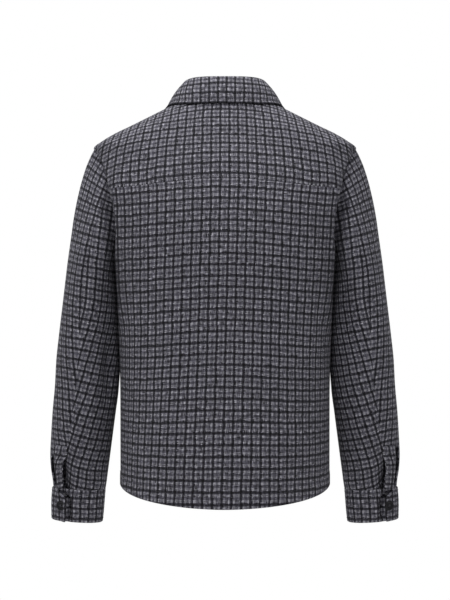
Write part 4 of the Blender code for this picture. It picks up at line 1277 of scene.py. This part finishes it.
def cuff_cut(side):
    """Points, normals and cloth coordinates of a cuff, as if for the right arm."""
    rows, turns_of_rows = [], []
    downs = np.linspace(0, 1, CUFF_DOWN_ROWS + 1)
    reach = LAP_GROOVE_REACH[side]
    for down in downs:
        corner = CUFF_CORNER * (1 - eased(down, 0.0, CUFF_CORNER_END)) ** 1.5
        corner = corner + CUFF_FOOT_CORNER * eased(down, FOOT_CORNER_START, 1.0)
        ring_turns = np.linspace(CUFF_LAP_START[side] + corner, 360.0 + CUFF_LAP_END, CUFF_STEPS + 1)
        lift = CUFF_LIFT * (1 - eased(ring_turns, CUFF_LAP_END, CUFF_LAP_END + CUFF_EASE))
        lift = lift + CUFF_CURL[side] * np.exp(-(((ring_turns - ring_turns[0]) / CUFF_CURL_REACH) ** 2))
        beside_lap = (ring_turns - 360.0 - ring_turns[0] + reach / 2) / reach
        groove = LAP_GROOVE * (1 - GROOVE_LOSS * eased(down, GROOVE_FOOT, 1.0))
        lift = lift - groove * np.exp(-(beside_lap**2))
        turns_of_rows.append(ring_turns)
        rows.append(cuff_ring(ring_turns, np.full(len(ring_turns), down), lift))
    points = np.stack(rows)
    core = np.broadcast_to(points.reshape(-1, 3).mean(0), points.shape)
    normals = away_from(points, core)
    points = points + normals * CUFF_PUFF * np.sin(np.pi * downs)[:, None, None]
    middle = CUFF_DOWN_ROWS // 2
    run = np.interp(np.stack(turns_of_rows), turns_of_rows[middle], runs(points, 1)[middle])
    under = np.interp(CUFF_UNDER_TURN, turns_of_rows[middle], runs(points, 1)[middle])
    wanted = PITCH_ACROSS * round(under / PITCH_ACROSS)
    across = run * wanted / under
    along = np.broadcast_to(-downs[:, None] * CUFF_HEIGHT, across.shape)
    return points, normals, np.stack([across - CUFF_START[0], along - CUFF_START[1]], -1)


print("cuff", CUFF_HEIGHT, "m high")

# %% Cut of the sleeve plackets, and sewing of both
STRIP_LENGTH = 0.083
STRIP_END_TURN = 138.0
STRIP_STEPS = 12
STRIP_LIFT = 0.0014
STRIP_START = (0.0028, -0.0026)
LAY_GAP = 0.0004


def strip_cut(side):
    """Points, normals and cloth coordinates of the strip beside the opening, as if for the right arm."""
    rows, cores = [], []
    for drop in DROPS[np.searchsorted(DROPS, SLEEVE_END - STRIP_LENGTH) :]:
        seam_turn = PHI_YOKE + seam_swing(drop, side)
        strip_turns = np.linspace(seam_turn, math.radians(STRIP_END_TURN), STRIP_STEPS + 1)
        ring, centre = sleeve_ring(strip_turns, drop)
        rows.append(ring)
        cores.append(np.broadcast_to(centre, ring.shape))
    points = np.stack(rows)
    normals = away_from(points, np.stack(cores))
    points = points + normals * (LAY_GAP + CLOTH + STRIP_LIFT)
    return points, normals, np.stack([runs(points, 1), -runs(points, 0)], -1) + STRIP_START


CUTS = {"cuff": (cuff_cut, DOUBLE), "sleeve_placket": (strip_cut, CLOTH + STRIP_LIFT)}
for side, flip in SIDES.items():
    for part, (cut, thick) in CUTS.items():
        points, normals, cloth = cut(side)
        sew_shell(f"{part}_{side}", points * flip, normals * flip, cloth, thick)

# %% Front placket
PLACKET_HALF = 0.017
PLACKET_SHORT = 0.004
placket_levels = HEM_LEVEL + (FRONT_NECK - PLACKET_SHORT - HEM_LEVEL) * shares(150)
placket_x = PLACKET_HALF * np.linspace(-1, 1, 17)
level_grid, x_grid = np.meshgrid(placket_levels, placket_x, indexing="ij")
sine = (np.abs(x_grid) / BODY["half_width"](level_grid)) ** (BODY["front_box"](level_grid) / 2)
placket_base = body_point(HALF_TURN - np.arcsin(sine), level_grid)
placket_base[..., 0] = x_grid
placket_normals = away_from(placket_base, placket_base * UP_ONLY)
placket_points = placket_base + placket_normals * (LAY_GAP + DOUBLE + HEM_LIFT)
placket_cloth = np.stack([x_grid, placket_points[..., 2] - WEFT_START], -1)
sew_shell("front_placket", placket_points, placket_normals, placket_cloth, DOUBLE)

# %% [markdown]
# ## Buttons
#
# Each button is a turned disc with a raised rim, pierced by four holes and sewn on with crossed thread. The
# disc is made from rings of points, and the holes are cut by a Boolean before the button is set in its
# place.

# %% Button material and thread
BUTTON_RADIUS = 0.0090
BUTTON_HEIGHT = 0.0032


def plain_material(name, colour, roughness, wave_scale, wave_share):
    """A finish with a faint cloudy marbling and a fine bump."""
    made, shader, start = new_material(name)
    cloud = noise(start.node("ShaderNodeTexCoord", output="Object"), wave_scale, detail=3.0)
    light = tuple(min(1.0, c * (1 + 2 * wave_share)) for c in colour[:3]) + (1.0,)
    bump = {"Height": cloud, "Strength": 0.15, "Distance": 0.0003}
    looks = {
        "Base Color": mixed(start, cloud, colour, light),
        "Roughness": roughness + (cloud - 0.5) * 0.15,
        "Normal": start.node("ShaderNodeBump", inputs=bump),
        "Specular IOR Level": 0.15,
    }
    start.plug(shader, looks)
    return made


HORN = plain_material("dark_button", (0.0040, 0.0040, 0.0050, 1.0), 0.34, 420.0, 0.5)
THREAD = plain_material("dark_thread", (0.040, 0.039, 0.045, 1.0), 0.8, 2400.0, 0.5)
print("button and thread ready")

# %% Make a button and its thread
BUTTON_PROFILE = (
    (0.80, 0.0),
    (0.93, 0.12),
    (1.0, 0.36),
    (1.0, 0.66),
    (0.96, 0.88),
    (0.88, 1.0),
    (0.79, 0.96),
    (0.70, 0.78),
    (0.60, 0.68),
    (0.30, 0.66),
)
BUTTON_STEPS = 40
HOLE_RADIUS = 0.0010
HOLE_AWAY = 0.0019
DRILL_PAST = 0.002
THREAD_RADIUS = 0.00045
THREAD_FACE, THREAD_FOOT = BUTTON_HEIGHT * 0.72, 0.0004
STRANDS = ((-1, 0.0008), (1, 0.0003))  # which way each crosses, and how far it lies above the face


def turned_solid(rings):
    """Points and faces of a closed round solid through rings of points."""
    count = len(rings[0])
    last = count * (len(rings) - 1)
    faces = []
    for first in range(0, last, count):
        for k in range(count):
            a, b = first + k, first + (k + 1) % count
            faces.append((a, b, b + count, a + count))
    faces += [tuple(range(count))[::-1], tuple(range(last, last + count))]
    return [tuple(point) for ring in rings for point in ring], faces


def rod(start, end, radius, sides):
    """Points and faces of a closed round rod."""
    way = (Vector(end) - Vector(start)).normalized()
    turn = Vector((0, 0, 1)).rotation_difference(way).to_matrix()
    ring = [turn @ Vector(point) for point in circle(radius, 0.0, sides)]
    return turned_solid([[point + Vector(at) for point in ring] for at in (start, end)])


def joined(name, parts):
    verts, faces = [], []
    for part_verts, part_faces in parts:
        faces += [tuple(i + len(verts) for i in face) for face in part_faces]
        verts += part_verts
    mesh = bpy.data.meshes.new(name)
    mesh.from_pydata(verts, [], faces)
    return mesh


def pierced_button():
    """The blank with four holes."""
    sizes = [(part * BUTTON_RADIUS, height * BUTTON_HEIGHT) for part, height in BUTTON_PROFILE]
    disc = turned_solid([circle(*size, BUTTON_STEPS) for size in sizes])
    blank = bpy.data.objects.new("button_blank", joined("button_blank", [disc]))
    holes = [(x * HOLE_AWAY, y * HOLE_AWAY) for x in (-1, 1) for y in (-1, 1)]
    low, high = -DRILL_PAST, BUTTON_HEIGHT + DRILL_PAST
    drills = [rod((x, y, low), (x, y, high), HOLE_RADIUS, 12) for x, y in holes]
    drill = bpy.data.objects.new("button_drill", joined("button_drill", drills))
    for each in (blank, drill):
        scene.collection.objects.link(each)
    cut = blank.modifiers.new("holes", "BOOLEAN")
    cut.operation = "DIFFERENCE"
    cut.object = drill
    ready = blank.evaluated_get(bpy.context.evaluated_depsgraph_get())
    mesh = bpy.data.meshes.new_from_object(ready)
    for each in (blank, drill):
        bpy.data.objects.remove(each)
    return mesh


def crossed_thread():
    """Two strands from hole to hole across the face, running down into the holes."""
    strands = []
    for sign, lift in STRANDS:
        top = THREAD_FACE + lift
        ends = [(-HOLE_AWAY, -sign * HOLE_AWAY), (HOLE_AWAY, sign * HOLE_AWAY)]
        strands.append(rod((*ends[0], top), (*ends[1], top), THREAD_RADIUS, 8))
        for x, y in ends:
            strands.append(rod((x, y, THREAD_FOOT), (x, y, top), THREAD_RADIUS, 8))
    return joined("crossed_thread", strands)


BUTTON_MESH = pierced_button()
THREAD_MESH = crossed_thread()
print("button faces", len(BUTTON_MESH.polygons), "thread faces", len(THREAD_MESH.polygons))

# %% Place the buttons
SHARP_EDGE = math.radians(40)
CUFF_CORE = (0.268, 0.034)


def set_button(node, centre, normal):
    """A button and its thread, with their place in the mesh, that stand for one packed button."""
    turn = Vector((0, 0, 1)).rotation_difference(Vector(normal)).to_matrix().to_4x4()
    turn.translation = Vector(centre)
    for kind, source, finish in (("horn", BUTTON_MESH, HORN), ("thread", THREAD_MESH, THREAD)):
        mesh = source.copy()
        mesh.transform(turn)
        mesh.materials.clear()
        mesh.materials.append(finish)
        piece = add_piece(f"{kind}_{node}", mesh)
        mesh.set_sharp_from_angle(angle=SHARP_EDGE)
        if kind == "horn":
            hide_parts(node)


def packed_place(node):
    """Centre of a packed button's back face and its outward axis, from its own points."""
    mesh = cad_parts[node].data
    points = np.array([v.co for v in mesh.vertices])
    middle = points.mean(0)
    _, _, axes = np.linalg.svd(points - middle, full_matrices=False)
    axis = axes[2]
    if "cuff" in node:
        centre = np.array([np.sign(middle[0]) * CUFF_CORE[0], CUFF_CORE[1], middle[2]])
    else:
        centre = np.array([0.0, 0.0, middle[2]])
    if axis @ (middle - centre) < 0:
        axis = -axis
    heights = (points - middle) @ axis
    return middle + axis * heights.min(), axis


button_nodes = [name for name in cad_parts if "button" in name]
for node in button_nodes:
    back_centre, axis = packed_place(node)
    set_button(node, back_centre, axis)
print("buttons", len(button_nodes))

# %% [markdown]
# ## Stitches
#
# Tone-in-tone stitching holds the hem, the yoke seam, the plackets and the edges of collar and cuffs. Each
# line of stitches is a path on the cloth, and Geometry Nodes lay a small rounded stitch on it every few
# millimetres. The stitches are realized into one plain mesh.

# %% Paths of the stitching
STITCH_LIFT = 0.0001


def trace(node, edge, inset, trim=0):
    """A path on the outer face of a piece, inset from one of its edges, without trim points at either end."""
    points, normals = PIECES[node]["points"], PIECES[node]["normals"]
    if edge in ("start", "end"):
        points, normals = points.transpose(1, 0, 2), normals.transpose(1, 0, 2)
        edge = {"start": "foot", "end": "top"}[edge]
    if edge == "top":
        points, normals = points[::-1], normals[::-1]
    run = runs(points, 0)
    path_points = []
    for column in range(trim, points.shape[1] - trim):
        at = [np.interp(inset, run[:, column], points[:, column, k]) for k in range(3)]
        out = [np.interp(inset, run[:, column], normals[:, column, k]) for k in range(3)]
        path_points.append(np.array(at) + np.array(out) * STITCH_LIFT)
    return np.array(path_points)


EDGE_INSET, SEAM_INSET, STRIP_INSET = 0.0055, 0.0050, 0.0022
paths = [
    trace("back_panel", "foot", HEM_BAND),
    trace("front_right", "foot", HEM_BAND, 4),
    trace("front_left", "foot", HEM_BAND, 4),
    trace("back_yoke", "foot", SEAM_INSET, 1),
    trace("collar_leaf", "top", EDGE_INSET, 2),
    trace("collar_leaf", "start", EDGE_INSET, 14),
    trace("collar_leaf", "end", EDGE_INSET, 14),
    trace("front_placket", "start", EDGE_INSET, 2),
    trace("front_placket", "end", EDGE_INSET, 2),
]
for side in ("left", "right"):
    paths += [trace(f"cuff_{side}", edge, EDGE_INSET, 2) for edge in ("foot", "top", "start")]
    paths += [trace(f"sleeve_placket_{side}", edge, STRIP_INSET, 1) for edge in ("start", "end")]
print("paths", len(paths), "points", sum(len(path) for path in paths))


# %% A node tree that lays stitches
def stitch_tree():
    tree = bpy.data.node_groups.new("lay_stitches", "GeometryNodeTree")
    kinds = {"Geometry": "Geometry", "Pitch": "Float", "Length": "Float", "Width": "Float"}
    kinds["Thread"] = "Material"
    for name, kind in kinds.items():
        tree.interface.new_socket(name, in_out="INPUT", socket_type=f"NodeSocket{kind}")
    tree.interface.new_socket("Geometry", in_out="OUTPUT", socket_type="NodeSocketGeometry")
    given, result = tree.nodes.new("NodeGroupInput"), tree.nodes.new("NodeGroupOutput")
    lines, pitch, length, width, thread = (Wire(tree, given.outputs[name]) for name in kinds)
    curve = lines.node("GeometryNodeMeshToCurve", inputs={"Mesh": lines})
    spaced = curve.node("GeometryNodeResampleCurve", {"mode": "LENGTH"}, {"Curve": curve, "Length": pitch})
    tangent = {"Vector": curve.node("GeometryNodeInputTangent")}
    stitch = {
        "Points": spaced,
        "Instance": curve.node("GeometryNodeMeshUVSphere", inputs={"Segments": 6, "Rings": 4, "Radius": 0.5}),
        "Rotation": curve.node("FunctionNodeAlignRotationToVector", {"axis": "Z"}, tangent),
        "Scale": curve.node("ShaderNodeCombineXYZ", inputs={0: width, 1: width, 2: length}),
    }
    laid = curve.node("GeometryNodeInstanceOnPoints", inputs=stitch)
    real = curve.node("GeometryNodeRealizeInstances", inputs={"Geometry": laid})
    dressed = curve.node("GeometryNodeSetMaterial", inputs={"Geometry": real, "Material": thread})
    dressed.plug(result, {"Geometry": dressed})
    return tree


# %% Lay the stitches
verts, edges = [], []
for path in paths:
    edges += [(len(verts) + k, len(verts) + k + 1) for k in range(len(path) - 1)]
    verts += path.tolist()
path_mesh = bpy.data.meshes.new("stitch_paths")
path_mesh.from_pydata(verts, edges, [])
stitch_paths = bpy.data.objects.new("stitch_paths", path_mesh)
scene.collection.objects.link(stitch_paths)
laying = stitch_paths.modifiers.new("stitches", "NODES")
laying.node_group = stitch_tree()
STITCH_SIZES = {"Pitch": 0.0036, "Length": 0.0026, "Width": 0.0007, "Thread": THREAD}
for item in laying.node_group.interface.items_tree:
    if item.in_out == "INPUT" and item.name in STITCH_SIZES:
        laying[item.identifier] = STITCH_SIZES[item.name]
ready = stitch_paths.evaluated_get(bpy.context.evaluated_depsgraph_get())
stitch_mesh = bpy.data.meshes.new_from_object(ready)
stitch_mesh.name = "tone_stitches"
bpy.data.objects.remove(stitch_paths)
add_piece("tone_stitches", stitch_mesh)
print("stitch faces", len(stitch_mesh.polygons))


# %% Size of a cut
def cut_size(points):
    """Width, length and area of the flat cut of a panel, measured along the cloth."""
    across, along = runs(points, 1)[:, -1], runs(points, 0)[-1]
    one, two = points[1:, 1:] - points[:-1, :-1], points[1:, :-1] - points[:-1, 1:]
    area = np.linalg.norm(np.cross(one, two), axis=2).sum() / 2
    return float(across.max()), float(along.max()), float(area)


def declare_sheet(node):
    width, length, area = cut_size(PIECES[node]["points"])
    print(node, "cut", round(width, 3), "by", round(length, 3), "m, area", round(area, 4), "m2")


HANGS_FROM = {
    "back_yoke": ["collar_stand"],
    "back_panel": ["back_yoke"],
    "front_right": ["back_yoke"],
    "front_left": ["back_yoke"],
    "front_placket": ["front_right", "front_left"],
    "collar_stand": ["back_yoke"],
    "collar_leaf": ["collar_stand"],
}
for side in ("left", "right"):
    HANGS_FROM[f"top_sleeve_{side}"] = ["back_yoke", f"front_{side}"]
    HANGS_FROM[f"under_sleeve_{side}"] = ["back_panel", f"front_{side}"]
    HANGS_FROM[f"cuff_{side}"] = [f"top_sleeve_{side}", f"under_sleeve_{side}"]
    HANGS_FROM[f"sleeve_placket_{side}"] = [f"top_sleeve_{side}"]
for node, holders in HANGS_FROM.items():
    declare_sheet(node)
